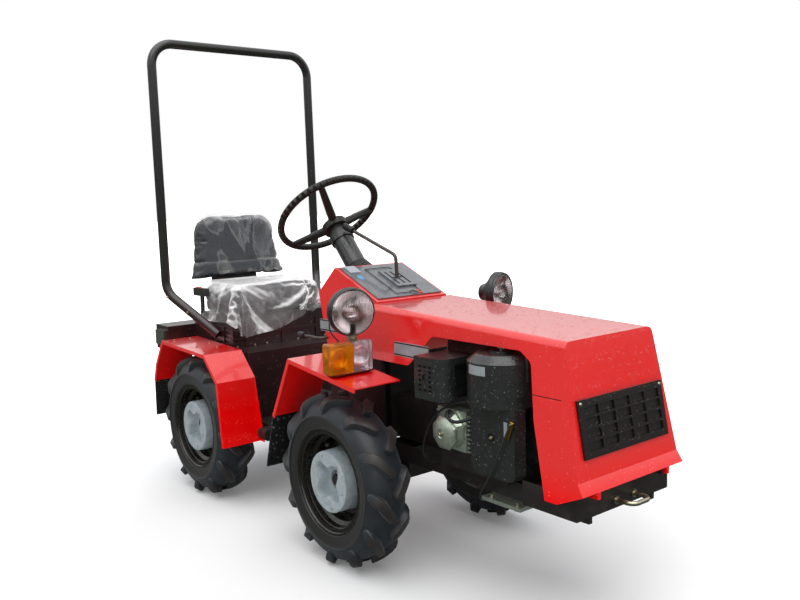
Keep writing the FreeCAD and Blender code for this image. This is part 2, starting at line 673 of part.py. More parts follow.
loop_z = dim.bumper_low_z + dim.loop_bend
loop_points = [
    Vector(float(dim.bumper_front_x), -float(dim.loop_half), float(loop_z)),
    Vector(float(loop_tip_x - dim.loop_bar_radius), -float(dim.loop_half), float(loop_z)),
    Vector(float(loop_tip_x - dim.loop_bar_radius), float(dim.loop_half), float(loop_z)),
    Vector(float(dim.bumper_front_x), float(dim.loop_half), float(loop_z)),
]
loop_shape = bent_tube(loop_points, float(dim.loop_bar_radius), float(dim.loop_bend))
for side_name, side in SIDES:
    washer = Part.makeCylinder(float(dim.loop_bolt_radius), float(dim.plate_wall),
                               Vector(float(dim.bumper_front_x), float(dim.loop_half) * side,
                                      float(loop_z)), Vector(1, 0, 0))
    loop_shape = loop_shape.fuse(washer)
finished("tow_loop", shaped("tow_loop", loop_shape))

transmission = join("transmission", [
    block("gearbox_block", (front_rail_rear_x + dim.rail_wall, dim.gearbox_front_x),
          (-dim.gearbox_half, dim.gearbox_half),
          (rail_high_z, dim.gearbox_high_z)),
    block("drive_case", (dim.gearbox_front_x, engine_rear_x),
          (-dim.drive_case_half, dim.drive_case_half), (rail_high_z, dim.drive_case_high_z)),
])
finished("transmission", transmission)


# ---------------------------------------------------------------- engine
finished("engine_block", block("engine_block", (engine_rear_x, dim.engine_front_x),
                               (dim.engine_right_y, dim.engine_left_y),
                               (rail_high_z, dim.engine_high_z)))

head_inner_y = dim.engine_right_y
head_outer_y = head_inner_y - dim.head_depth
rocker_place = Vector(float(dim.rocker_x), float(head_outer_y), float(dim.rocker_z))
rocker_sides = int(float(dim.rocker_sides))


def rocker_outline(radius, out):
    """The rocker cover's many-sided outline at a distance out from the head."""
    corners = [rocker_place + ring_point(radius, -out, (index + 0.5) * 360 / rocker_sides)
               for index in range(rocker_sides)]
    return Part.makePolygon([*corners, corners[0]])


rocker_rim = Part.Face(rocker_outline(float(dim.rocker_radius), 0.0)).extrude(
    Vector(0, -float(dim.rocker_rim), 0))
rocker_dome = Part.makeLoft([rocker_outline(float(dim.rocker_foot_radius), 0.0),
                             rocker_outline(float(dim.rocker_top_radius),
                                            float(dim.rocker_depth))], True, True)
rocker_shape = rocker_rim.fuse(rocker_dome)
fin_pitch = float(dim.head_fin + dim.head_fin_gap)
for index in range(int(float(dim.head_length) / fin_pitch)):
    fin_z = float(dim.rocker_z - dim.head_length / 2) + index * fin_pitch
    fin = Part.makeBox(float(dim.head_length) + float(dim.head_fin_depth) * 2,
                       float(dim.head_depth) - float(dim.head_fin), float(dim.head_fin))
    fin.translate(Vector(rocker_place.x - float(dim.head_length / 2 + dim.head_fin_depth),
                         float(head_outer_y + dim.head_fin), fin_z))
    rocker_shape = rocker_shape.fuse(fin)
finished("cylinder_head", join("cylinder_head", [
    block("head_block", (dim.rocker_x - dim.head_length / 2, dim.rocker_x + dim.head_length / 2),
          (head_outer_y, head_inner_y),
          (dim.rocker_z - dim.head_length / 2, dim.rocker_z + dim.head_length / 2)),
    shaped("rocker_cover", rocker_shape),
]))

finished("fan_housing", rod("fan_housing", "x", dim.fan_radius, dim.fan_depth,
                            (dim.engine_front_x, dim.fan_y, dim.fan_z)))

def rounded_block(name, x, y, z, radius):
    """A box whose upright edges are rounded."""
    item = block(name + "_box", x, y, z)
    document.recompute()
    round_off = document.addObject("Part::Fillet", name)
    round_off.Base = item
    upright = []
    for index, edge in enumerate(item.Shape.Edges, start=1):
        if abs(edge.tangentAt(edge.FirstParameter).z) > 0.9:
            upright.append((index, float(radius), float(radius)))
    round_off.Edges = upright
    return round_off


def box_between(low, high):
    """A box between two opposite corners."""
    size = [float(b) - float(a) for a, b in zip(low, high)]
    return Part.makeBox(*size, Vector(*[float(a) for a in low]))


# the guard round the muffler: slots about a round hole on its outer side, and its front
# open under the lid
guard = box_between((engine_rear_x, dim.muffler_outer_y, dim.engine_high_z),
                    (dim.muffler_front_x, dim.muffler_inner_y, dim.muffler_high_z))
outer_corner = [edge for edge in guard.Edges
                if abs(edge.tangentAt(edge.FirstParameter).z) > 0.9
                and edge.CenterOfMass.y < float(dim.muffler_outer_y) + 1
                and edge.CenterOfMass.x > float(dim.muffler_front_x) - 1]
guard = guard.makeFillet(float(dim.muffler_round), outer_corner)
guard = guard.cut(box_between(
    (dim.muffler_front_x - dim.muffler_recess, dim.muffler_outer_y + dim.muffler_recess_side,
     dim.engine_high_z),
    (dim.muffler_front_x, dim.muffler_inner_y, dim.muffler_high_z - dim.muffler_lid)))
hole_x = engine_rear_x + dim.muffler_hole_rear
hole_z = (dim.engine_high_z + dim.muffler_high_z) / 2
slot_rows = int(float(dim.muffler_slots))
for column in (-1, 0, 1):
    for row in range(slot_rows):
        if column == 0 and 0 < row < slot_rows - 1:
            continue
        slot_x = hole_x + column * dim.muffler_column_pitch - dim.muffler_slot_long / 2
        slot_z = (hole_z + (row - (slot_rows - 1) / 2) * dim.muffler_slot_pitch
                  - dim.muffler_slot_high / 2)
        guard = guard.cut(box_between(
            (slot_x, dim.muffler_outer_y, slot_z),
            (slot_x + dim.muffler_slot_long, dim.muffler_outer_y + dim.muffler_slot_deep,
             slot_z + dim.muffler_slot_high)))
guard = guard.cut(Part.makeCylinder(
    float(dim.muffler_hole_radius), float(dim.muffler_slot_deep),
    Vector(float(hole_x), float(dim.muffler_outer_y), float(hole_z)), Vector(0, 1, 0)))
finished("muffler", shaped("muffler", guard))

cleaner_foot = Vector(float(dim.cleaner_x), float(dim.cleaner_y), float(dim.cleaner_low_z))
cleaner_high = float(dim.cleaner_high_z - dim.cleaner_low_z)
cleaner_radius = float(dim.cleaner_radius)
lip_radius, lip_high = cleaner_radius + float(dim.cleaner_lip), float(dim.cleaner_lip_high)
cap_radius, cap_high = float(dim.cleaner_cap_radius), cleaner_high + float(dim.cleaner_cap_high)
stud_radius, stud_high = float(dim.cleaner_stud_radius), cleaner_high + float(dim.cleaner_stud_high)
cleaner_line = [
    (0.0, 0.0), (lip_radius, 0.0), (lip_radius, lip_high), (cleaner_radius, lip_high),
    (cleaner_radius, cleaner_high - float(dim.cleaner_bevel_high)),
    (cleaner_radius - float(dim.cleaner_bevel), cleaner_high),
    (cap_radius, cleaner_high), (cap_radius, cap_high), (stud_radius, cap_high),
    (stud_radius, stud_high), (0.0, stud_high),
]
cleaner_wire = Part.makePolygon([Vector(r, 0, z) for r, z in [*cleaner_line, cleaner_line[0]]])
cleaner_shape = Part.Face(cleaner_wire).revolve(Vector(), Vector(0, 0, 1), 360)
cleaner_shape.translate(cleaner_foot)
finished("air_cleaner", shaped("air_cleaner", cleaner_shape))

intake_round = float(dim.intake_round)
intake_shape = box_between((dim.intake_rear_x, dim.intake_outer_y, dim.intake_low_z),
                           (dim.intake_front_x, dim.engine_right_y, dim.cleaner_low_z))
low_edges = [edge for edge in intake_shape.Edges
             if abs(edge.tangentAt(edge.FirstParameter).y) > 0.9
             and edge.CenterOfMass.z < float(dim.intake_low_z) + 1]
finished("intake_cover", shaped("intake_cover", intake_shape.makeFillet(intake_round, low_edges)))

# the throttle cable: out of the cover's rear face, over the head and down into the rail;
# each point is measured from where it leaves the cover
cable_start = Vector(float(dim.intake_rear_x), float(dim.intake_outer_y + dim.cable_inset),
                     float(dim.cleaner_low_z - dim.cable_drop))
cable_points = [cable_start + Vector(*step) for step in CABLE_STEPS]
cable_shape = flexible_tube("throttle_cable", cable_points, float(dim.cable_radius))
rail_face = box_between((dim.gearbox_front_x, -dim.front_rail_half, rail_low_z),
                        (engine_rear_x, dim.front_rail_half, rail_high_z))
finished("throttle_cable", shaped("throttle_cable", cable_shape.cut(intake_shape).cut(rail_face)))

finished("engine_mount", block(
    "engine_mount", (dim.mount_bar_rear_x, dim.mount_bar_front_x),
    (-dim.mount_bar_half, dim.mount_bar_half), (rail_low_z - dim.mount_bar_wall, rail_low_z)))

tank_body = rounded_block("tank_body", (dim.tank_rear_x, dim.tank_front_x),
                          (dim.tank_right_y, dim.tank_left_y),
                          (dim.engine_high_z + dim.tank_foot, dim.tank_high_z), dim.tank_round)
tank_feet = [
    block(f"tank_foot_{index}", (x, x + dim.tank_foot),
          (dim.tank_right_y + dim.tank_round, dim.engine_left_y),
          (dim.engine_high_z, dim.engine_high_z + dim.tank_foot))
    for index, x in enumerate((engine_rear_x, dim.tank_front_x - dim.tank_foot * 2))
]
finished("fuel_tank", join("fuel_tank", [tank_body, *tank_feet]))


# ---------------------------------------------------------------- hood
hood_side = [
    (dim.hood_rear_x, dim.hood_side_low_z), (dim.hood_rear_x, dim.hood_rear_z),
    (dim.hood_front_x, dim.hood_front_z), (dim.hood_crease_x, dim.hood_crease_z),
    (dim.hood_lip_x, dim.hood_lip_z), (dim.hood_nose_low_x, dim.hood_nose_low_z),
    (dim.opening_foot_x, dim.hood_nose_low_z),
]
hood_opening = [
    (dim.hood_rear_x - dim.hood_wall * 2, dim.hood_nose_low_z - dim.hood_round),
    (dim.hood_rear_x - dim.hood_wall * 2, dim.hood_side_low_z),
    (opening_rear_x, dim.hood_side_low_z), (opening_slope_x, dim.opening_high_z),
    (dim.opening_front_x, dim.opening_high_z), (dim.opening_corner_x, dim.opening_corner_z),
    (dim.opening_waist_x, dim.opening_waist_z), (dim.opening_foot_x, dim.hood_nose_low_z),
    (dim.opening_foot_x, dim.hood_nose_low_z - dim.hood_round),
]
flare = (dim.hood_low_half - dim.hood_top_half) / (dim.hood_front_z - dim.hood_lip_z)


def hood_section(x, wall):
    """The hood's cross-section at one place along it, as a face with rounded shoulders."""
    share = (x - float(dim.hood_rear_x)) / float(dim.hood_front_x - dim.hood_rear_x)
    top = float(dim.hood_rear_z) + share * float(dim.hood_front_z - dim.hood_rear_z) - wall
    low = float(dim.hood_nose_low_z) - float(dim.hood_round)
    top_half = float(dim.hood_top_half) + (float(dim.hood_front_z) - top) * float(flare) - wall
    low_half = float(dim.hood_top_half) + (float(dim.hood_front_z) - low) * float(flare) - wall
    round_off = float(dim.hood_round) - wall
    corners = [Vector(x, -low_half, low), Vector(x, -top_half, top),
               Vector(x, top_half, top), Vector(x, low_half, low)]
    edges = []
    points = [corners[0]]
    for corner, before, after in ((corners[1], corners[0], corners[2]),
                                  (corners[2], corners[1], corners[3])):
        back, ahead = (before - corner).normalize(), (after - corner).normalize()
        half = back.getAngle(ahead) / 2
        first = corner + back * (round_off / math.tan(half))
        last = corner + ahead * (round_off / math.tan(half))
        middle_way = (back + ahead).normalize()
        middle = corner + middle_way * (round_off / math.sin(half) - round_off)
        edges.append(Part.makeLine(points[-1], first))
        edges.append(Part.Arc(first, middle, last).toShape())
        points.append(last)
    edges.append(Part.makeLine(points[-1], corners[3]))
    edges.append(Part.makeLine(corners[3], corners[0]))
    return Part.Wire(edges)


def hood_solid(wall):
    """The hood's outer form, or the space inside it when a wall is given."""
    rear = float(dim.hood_rear_x) - wall
    front = float(dim.hood_lip_x + dim.hood_round)
    loft = Part.makeLoft([hood_section(rear, wall), hood_section(front, wall)], True, True)
    side_view = [(float(a), float(b)) for a, b in hood_side]
    if wall:
        side_view = inset(side_view, wall)
        open_rear = float(dim.hood_rear_x) - wall
        open_low = float(dim.hood_nose_low_z) - float(dim.hood_round)
        side_view = [(open_rear, open_low), (open_rear, side_view[1][1]), *side_view[2:5],
                     (side_view[4][0], open_low)]
    half = float(dim.hood_low_half) * 2
    return loft.common(prism(side_view, (-half, half)))


hood_shape = hood_solid(0.0).cut(hood_solid(float(dim.hood_wall)))
half = float(dim.hood_low_half) * 2
opening = prism(hood_opening, (-half, half))
opening_tops = [edge for edge in opening.Edges
                if abs(edge.tangentAt(edge.FirstParameter).y) > 0.9
                and edge.CenterOfMass.z > float(dim.opening_waist_z) + 1]
opening = opening.makeFillet(float(dim.opening_round), opening_tops)
hood_shape = hood_shape.cut(opening)
lean_run = float(dim.hood_crease_x - dim.hood_front_x)
lean_fall = float(dim.hood_front_z - dim.hood_crease_z)
lean = math.degrees(math.atan2(lean_run, lean_fall))


def on_front_panel(z, out):
    """The place on the leaning front panel at a height, moved out from its face."""
    x = float(dim.hood_front_x) + (float(dim.hood_front_z) - z) * lean_run / lean_fall
    tilt = math.radians(lean)
    return Vector(x + out * math.cos(tilt), 0, z + out * math.sin(tilt))


def panel_block(y, z, out):
    """A box lying on the front panel, between two heights and two distances out from it."""
    tilt = math.radians(lean)
    length = (z[1] - z[0]) / math.cos(tilt)
    shape = Part.makeBox(out[1] - out[0], y[1] - y[0], length)
    turn = FreeCAD.Rotation(Vector(0, 1, 0), -lean)
    start = on_front_panel(z[0], out[0]) + Vector(0, y[0], 0)
    shape.Placement = FreeCAD.Placement(start, turn)
    return shape


grille_y = (-float(dim.grille_half), float(dim.grille_half))
grille_z = (float(dim.grille_low_z), float(dim.grille_high_z))
border = float(dim.grille_border)
window_y = (grille_y[0] + border, grille_y[1] - border)
window_z = (grille_z[0] + border, grille_z[1] - border)
hood_wall = float(dim.hood_wall)
hood_shape = hood_shape.cut(panel_block(window_y, window_z, (-hood_wall * 3, hood_wall * 2)))
grille_shape = panel_block(grille_y, grille_z, (0, float(dim.grille_wall)))
columns, rows = int(float(dim.grille_columns)), int(float(dim.grille_rows))
bar = float(dim.grille_bar)
cell_y = (window_y[1] - window_y[0] - bar * (columns - 1)) / columns
cell_z = (window_z[1] - window_z[0] - bar * (rows - 1)) / rows
cells = []
for column in range(columns):
    for row in range(rows):
        low_y = window_y[0] + column * (cell_y + bar)
        low_z = window_z[0] + row * (cell_z + bar)
        cells.append(panel_block((low_y, low_y + cell_y), (low_z, low_z + cell_z),
                                 (float(dim.grille_mesh), float(dim.grille_wall) * 2)))
grille_shape = grille_shape.cut(Part.makeCompound(cells))
finished("grille", shaped("grille", grille_shape))

hinge_x, hinge_z = float(hood_hinge_x), float(hood_hinge_z)
tab_rear = float(dim.tab_rear)
for side_name, side in SIDES:
    ear_gap = float(dim.hinge_ear / 2 + dim.hinge_side_gap)
    inner = float(dim.hinge_pitch) + ear_gap
    span = sorted((inner * side, (inner + float(dim.hinge_ear)) * side))
    tab = prism([(hinge_x - tab_rear, hinge_z - tab_rear),
                 (hinge_x - tab_rear, hinge_z + float(dim.tab_heel)),
                 (hinge_x + float(dim.tab_lean), hinge_z + float(dim.tab_rise)),
                 (hinge_x + float(dim.tab_nose), hinge_z + float(dim.tab_nose_rise)),
                 (hinge_x + float(dim.tab_front), hinge_z - tab_rear)], span)
    tab = tab.common(hood_solid(float(dim.hood_wall) / 2))
    bore = Part.makeCylinder(float(dim.hinge_pin_radius + dim.hinge_clearance),
                             float(dim.hinge_ear) * 4,
                             Vector(hinge_x, float(dim.hinge_pitch) * side
                                    - float(dim.hinge_ear) * 2, hinge_z), Vector(0, 1, 0))
    hood_shape = hood_shape.fuse(tab).cut(bore)
finished("hood", shaped("hood", hood_shape))


# ---------------------------------------------------------------- console and controls
console_front_x = dim.hood_rear_x - dim.hood_gap
support_high_z = dim.console_low_z
support_low_z = support_high_z - dim.support_wall
items = [block("support_plate", (dim.support_rear_x, console_front_x),
               (-dim.console_half, dim.console_half), (support_low_z, support_high_z))]
for side_name, side in SIDES:
    items.append(block(f"support_leg_{side_name}", (dim.support_rear_x, console_front_x),
                       mirrored((dim.front_rail_half - dim.rail_wall, dim.front_rail_half), side),
                       (rail_high_z, support_low_z)))
    items.append(block(f"support_arm_{side_name}", (dim.arm_rear_x, dim.arm_front_x),
                       mirrored((dim.console_half, fender_arm_reach), side),
                       (support_low_z, support_high_z)))
finished("front_support", join("front_support", items))

console_side = [
    (dim.console_foot_x, dim.console_low_z), (dim.console_rear_x, dim.console_rear_z),
    (dim.console_top_x, dim.console_top_z), (console_front_x, dim.console_front_z),
    (console_front_x, dim.console_low_z),
]
console_half = float(dim.console_half)
console_outer = prism(console_side, (-console_half, console_half))
console_inside = inset(console_side, dim.console_wall)
low = float(dim.console_low_z) - float(dim.console_wall)
console_inside = [(console_inside[0][0], low), *console_inside[1:4], (console_inside[4][0], low)]
inner_half = console_half - float(dim.console_wall)
console_shape = console_outer.cut(prism(console_inside, (-inner_half, inner_half)))

column_tilt = math.radians(float(dim.column_tilt))
column_way = Vector(-math.sin(column_tilt), 0, math.cos(column_tilt))
column_place = float(dim.column_place)
column_foot = Vector(
    float(dim.console_rear_x) + float(dim.console_top_x - dim.console_rear_x) * column_place, 0,
    float(dim.console_rear_z) + float(dim.console_top_z - dim.console_rear_z) * column_place)
finished("console", shaped("console", console_shape))

slope = math.atan2(float(dim.console_top_z - dim.console_front_z),
                   float(console_front_x - dim.console_top_x))
dash_length = math.hypot(float(dim.console_top_z - dim.console_front_z),
                         float(console_front_x - dim.console_top_x))
dash_inset = float(dim.dash_inset)
dash_turn = FreeCAD.Rotation(Vector(0, 1, 0), math.degrees(slope))


def dash_block(x, y, z):
    """A box on the sloping dash, measured along it from its rear top edge."""
    shape = Part.makeBox(x[1] - x[0], y[1] - y[0], z[1] - z[0], Vector(x[0], y[0], z[0]))
    start = Vector(float(dim.console_top_x), 0, float(dim.console_top_z))
    shape.Placement = FreeCAD.Placement(start, dash_turn)
    return shape


dash_half = console_half - dash_inset
dash_wall = float(dim.dash_wall)
gate_mid = dash_length / 2
gate_half = float(dim.gate_length) / 2
gate_span = (float(dim.gate_y - dim.gate_width / 2), float(dim.gate_y + dim.gate_width / 2))
dash_shape = dash_block((dash_inset, dash_length - dash_inset), (-dash_half, dash_half),
                        (0, dash_wall))
gate = dash_block((gate_mid - gate_half, gate_mid + gate_half), gate_span,
                  (dash_wall, dash_wall + float(dim.gate_rise)))
gate_top = dash_wall + float(dim.gate_rise)
slot_half, slot_floor = float(dim.gate_slot) / 2, gate_top - float(dim.gate_slot_deep)
slot_reach = float(dim.gate_slot_long) / 2
slots = []
for column in (-1, 0, 1):
    slot_y = float(dim.gate_y) + column * float(dim.gate_slot_pitch)
    slots.append(dash_block((gate_mid - slot_reach, gate_mid + slot_reach),
                            (slot_y - slot_half, slot_y + slot_half), (slot_floor, gate_top)))
slot_span = float(dim.gate_slot_pitch) + slot_half
slots.append(dash_block((gate_mid - slot_half, gate_mid + slot_half),
                        (float(dim.gate_y) - slot_span, float(dim.gate_y) + slot_span),
                        (slot_floor, gate_top)))
gate_shape = dash_shape.fuse(gate).cut(Part.makeCompound(slots).removeSplitter())
finished("dash_plate", shaped("dash_plate", gate_shape))

lever_radius = float(dim.lever_radius)
lever_foot = Vector(float(dim.console_top_x), float(dim.gate_y), float(dim.console_top_z))
lever_foot = lever_foot + dash_turn.multVec(Vector(gate_mid, 0, slot_floor))
lever_points = [
    lever_foot,
    lever_foot + Vector(-float(dim.lever_lean), 0, float(dim.lever_rise)),
    lever_foot + Vector(-float(dim.lever_run), -float(dim.lever_side), float(dim.lever_climb)),
]
lever_shape = bent_tube(lever_points, lever_radius, float(dim.lever_bend))
grip_way = (lever_points[-1] - lever_points[-2]).normalize()
grip = Part.makeCylinder(float(dim.grip_radius), float(dim.grip_length),
                         lever_points[-1], grip_way)
finished("gear_lever", shaped("gear_lever", lever_shape.fuse(grip).cut(gate_shape)))

side_foot = Vector(float(dim.console_foot_x), -console_half,
                   float(dim.console_low_z + dim.side_lever_rise))
side_out = Vector(0, -float(dim.side_lever_out), 0)
side_points = [side_foot, side_foot + side_out,
               side_foot + side_out - Vector(float(dim.side_lever_run), 0, 0)]
side_shape = bent_tube(side_points, float(dim.side_lever_radius), float(dim.side_lever_bend))
knob = Part.makeCylinder(float(dim.grip_radius), float(dim.knob_length),
                         side_points[-1], Vector(-1, 0, 0))
finished("side_lever", shaped("side_lever", side_shape.fuse(knob)))

def on_column(start, radii, end_radius=0.0):
    """A solid round the column: (distance up, radius) steps from a start, down to an axis."""
    line = [Vector(end_radius, 0, radii[0][0]), *[Vector(r, 0, z) for z, r in radii],
            Vector(end_radius, 0, radii[-1][0])]
    shape = Part.Face(Part.makePolygon([*line, line[0]])).revolve(
        Vector(), Vector(0, 0, 1), 360)
    shape.Placement = FreeCAD.Placement(
        column_foot + column_way * start, FreeCAD.Rotation(Vector(0, 0, 1), column_way))
    return shape


ripples = int(float(dim.boot_ripples))
boot_radius, boot_length = float(dim.boot_radius), float(dim.boot_length)
boot_step = boot_length / ripples
boot_fall = (boot_radius - float(dim.column_radius)) / ripples
ripple_depth = float(dim.boot_ripple_depth)
boot_line = [(-boot_step, boot_radius)]
for index in range(ripples):
    crest = boot_radius - index * boot_fall
    boot_line.append((index * boot_step, crest))
    boot_line.append(((index + 0.5) * boot_step, crest - ripple_depth))
boot_line.append((boot_length, float(dim.column_radius)))
collar_low, collar_length = float(dim.collar_low), float(dim.collar_length)
collar_radius = float(dim.collar_radius)
column_line = [
    (0.0, float(dim.column_radius)), (collar_low, float(dim.column_radius)),
    (collar_low, collar_radius), (collar_low + collar_length, collar_radius),
    (collar_low + collar_length, float(dim.column_radius)),
    (float(dim.column_length), float(dim.column_radius)),
]
hub_start = float(dim.column_length + dim.running_gap)
hub_low = column_foot + column_way * hub_start
hub_length = float(dim.steer_hub_length)
shaft_length = hub_start + hub_length - float(dim.hub_shaft_gap) * 2
steer_shaft = Part.makeCylinder(float(dim.steer_shaft_radius), shaft_length, column_foot,
                                column_way)
column_shape = on_column(0.0, boot_line).fuse(on_column(0.0, column_line))
column_shape = column_shape.fuse(steer_shaft).cut(console_outer)
finished("steering_column", shaped("steering_column", column_shape))

neck_length = float(dim.steer_neck_length)
hub_shape = on_column(hub_start, [
    (0.0, float(dim.steer_neck_radius)), (neck_length, float(dim.steer_neck_radius)),
    (neck_length, float(dim.steer_hub_radius)), (hub_length, float(dim.steer_hub_radius))])
hub_bore = Part.makeCylinder(float(dim.steer_shaft_radius + dim.shaft_clearance),
                             hub_length - float(dim.hub_shaft_gap), hub_low, column_way)
spoke_start = hub_low + column_way * ((neck_length + hub_length) / 2)
rim_centre = hub_low + column_way * (hub_length / 2 + float(dim.steer_dish))
rim_radius = float(dim.steer_rim_radius)
rim = Part.makeTorus(rim_radius, float(dim.steer_tube_radius), rim_centre, column_way)
steering_shape = rim
across = Vector(math.cos(column_tilt), 0, math.sin(column_tilt))
spoke_count = int(float(dim.spoke_count))
for index in range(spoke_count):
    turn = FreeCAD.Rotation(column_way, float(dim.spoke_turn) + index * 360 / spoke_count)
    way = turn.multVec(across)
    tip = rim_centre + way * rim_radius
    spoke = Part.makeCone(float(dim.spoke_foot_radius), float(dim.spoke_tip_radius),
                          (tip - spoke_start).Length, spoke_start, (tip - spoke_start).normalize())
    steering_shape = steering_shape.fuse(spoke)
steering_shape = steering_shape.fuse(hub_shape).cut(hub_bore)
finished("steering_wheel", shaped("steering_wheel", steering_shape))


# ---------------------------------------------------------------- front fenders and lamps
front_line = [
    (dim.front_tail_x, dim.front_tail_z), (dim.front_bend_x, dim.front_bend_z),
    (dim.front_top_x, dim.front_top_z),
]
front_tail = (float(dim.front_tail_x), float(dim.front_tail_z))
up_plate = direction(front_tail, (float(dim.front_bend_x), float(dim.front_bend_z)))
flap_wall, flap_overlap = float(dim.flap_wall), float(dim.flap_overlap)
flap_corner = (front_tail[0] - up_plate[1] * flap_wall, front_tail[1] + up_plate[0] * flap_wall)
front_flap_line = [
    (dim.front_flap_low_x, dim.front_flap_low_z), flap_corner,
    (flap_corner[0] + up_plate[0] * flap_overlap, flap_corner[1] + up_plate[1] * flap_overlap),
]
def lipped(line, outline, side, span):
    """A fender plate with its outer edge turned down."""
    lip_span = mirrored((fender_outer - dim.fender_wall, fender_outer), side)
    return prism(outline, span).fuse(prism(plate_along(line, dim.fender_lip), lip_span))


def rounded_lamp(x, y, z, radius):
    """A lamp's box whose edges along X are rounded."""
    shape = box_between((x[0], y[0], z[0]), (x[1], y[1], z[1]))
    along = [edge for edge in shape.Edges if abs(edge.tangentAt(edge.FirstParameter).x) > 0.9]
    return shape.makeFillet(float(radius), along)


pair = {"front_fenders": [], "front_flaps": [], "indicators": [], "headlamps": []}
for side_name, side in SIDES:
    span = mirrored((front_fender_inner, fender_outer), side)
    outline = plate_along(front_line, dim.fender_wall)
    pair["front_fenders"].append(shaped(f"front_fender_{side_name}",
                                        lipped(front_line, outline, side, span)))
    flap_span = mirrored((front_fender_inner + dim.flap_inset,
                          fender_outer - dim.flap_inset), side)
    flap_shape = prism(plate_along(front_flap_line, dim.flap_wall), flap_span)
    flap_shape = flap_shape.cut(prism(outline, span))
    pair["front_flaps"].append(shaped(f"front_flap_{side_name}", flap_shape))

    half_depth = dim.indicator_depth / 2
    lens = rounded_lamp((dim.indicator_x - half_depth, dim.indicator_x + half_depth),
                        mirrored((dim.indicator_inner, dim.indicator_outer), side),
                        (indicator_low_z, indicator_high_z), dim.indicator_round)
    plate_y = mirrored((dim.indicator_inner - dim.indicator_plate_side,
                        dim.indicator_outer - dim.indicator_round * 2), side)
    plate_rear_x = dim.indicator_x - half_depth - dim.indicator_plate
    bracket = box_between((plate_rear_x, plate_y[0], fender_top_at(plate_rear_x)),
                          (plate_rear_x + dim.indicator_plate, plate_y[1],
                           indicator_high_z - dim.indicator_round))
    pair["indicators"].append(shaped(f"indicator_{side_name}", lens.fuse(bracket)))

    front = float(dim.lamp_front_x)
    depth = float(dim.lamp_depth)
    outer, back = float(dim.lamp_radius), float(dim.lamp_back_radius)
    bowl = [Vector(front - depth, 0, 0), Vector(front - depth, 0, back),
            Vector(front - float(dim.lamp_neck_depth), 0, float(dim.lamp_neck_radius)),
            Vector(front - float(dim.lamp_waist_depth), 0, float(dim.lamp_waist_radius)),
            Vector(front - float(dim.lamp_band), 0, outer), Vector(front, 0, outer),
            Vector(front, 0, outer - float(dim.lamp_rim)),
            Vector(front - float(dim.lamp_glass_inset), 0, outer - float(dim.lamp_rim)),
            Vector(front - float(dim.lamp_glass_inset), 0, 0)]
    bowl_face = Part.Face(Part.makePolygon([*bowl, bowl[0]]))
    lamp = bowl_face.revolve(Vector(), Vector(1, 0, 0), 360)
    stem_x = front - float(dim.lamp_stem_setback)
    lamp.rotate(Vector(stem_x, 0, 0), Vector(0, 0, 1), float(dim.lamp_turn) * side)
    lamp.translate(Vector(0, float(dim.lamp_y) * side, float(lamp_z)))
    stem = Part.makeCylinder(float(dim.lamp_stem_radius),
                             float(dim.lamp_rise - dim.lamp_waist_radius / 2),
                             Vector(stem_x, float(dim.lamp_y) * side, float(indicator_high_z)))
    pair["headlamps"].append(shaped(f"headlamp_{side_name}", lamp.fuse(stem)))
    lamp_turn = math.radians(float(dim.lamp_turn))
    back_reach = stem_x - front + depth
    lamp_back = Vector(stem_x - back_reach * math.cos(lamp_turn),
                       (float(dim.lamp_y) - back_reach * math.sin(lamp_turn)) * side,
                       float(lamp_z))
    wire_points = [lamp_back + Vector(ahead, out * side, up)
                   for ahead, out, up in LAMP_WIRE_STEPS]
    wire = flexible_tube(f"lamp_wire_{side_name}", wire_points, float(dim.lamp_wire_radius))
    finished(f"lamp_wire_{side_name}",
             shaped(f"lamp_wire_{side_name}", wire.cut(lamp).cut(lens)))
for name, items in pair.items():
    finished(name, group(name, items))


# ---------------------------------------------------------------- joint between the halves
fork_front_x = front_rail_rear_x
fork_items = [block("fork_plate", (fork_front_x - dim.fork_wall, fork_front_x),
                    (-dim.fork_plate_half, dim.fork_plate_half),
                    (dim.pivot_low_z - dim.running_gap - dim.fork_wall,
                     dim.pivot_high_z + dim.running_gap + dim.fork_wall))]
for place_name, low_z in (("low", dim.pivot_low_z - dim.running_gap - dim.fork_wall),
                          ("high", dim.pivot_high_z + dim.running_gap)):
    fork_items.append(block(f"fork_arm_{place_name}", (pivot_x, fork_front_x - dim.fork_wall),
                            (-dim.fork_half, dim.fork_half), (low_z, low_z + dim.fork_wall)))
    fork_items.append(rod(f"fork_eye_{place_name}", "z", dim.fork_half, dim.fork_wall,
                          (pivot_x, 0, low_z)))
fork_items.append(rod("pivot_pin", "z", dim.pivot_pin_radius,
                      dim.pivot_high_z - dim.pivot_low_z + dim.running_gap * 2,
                      (pivot_x, 0, dim.pivot_low_z - dim.running_gap)))
finished("pivot_fork", join("pivot_fork", fork_items))

arm_solid = join("arm_solid", [
    rod("pivot_barrel", "z", dim.pivot_barrel_radius, dim.pivot_high_z - dim.pivot_low_z,
        (pivot_x, 0, dim.pivot_low_z)),
    block("pivot_beam", (dim.rear_wall_x, pivot_x),
          (-dim.pivot_barrel_radius, dim.pivot_barrel_radius),
          (dim.pivot_low_z, dim.pivot_high_z)),
])
finished("pivot_arm", cut("pivot_arm", arm_solid, [
    rod("pivot_bore", "z", dim.pivot_pin_radius + dim.shaft_clearance,
        dim.pivot_high_z - dim.pivot_low_z, (pivot_x, 0, dim.pivot_low_z))]))


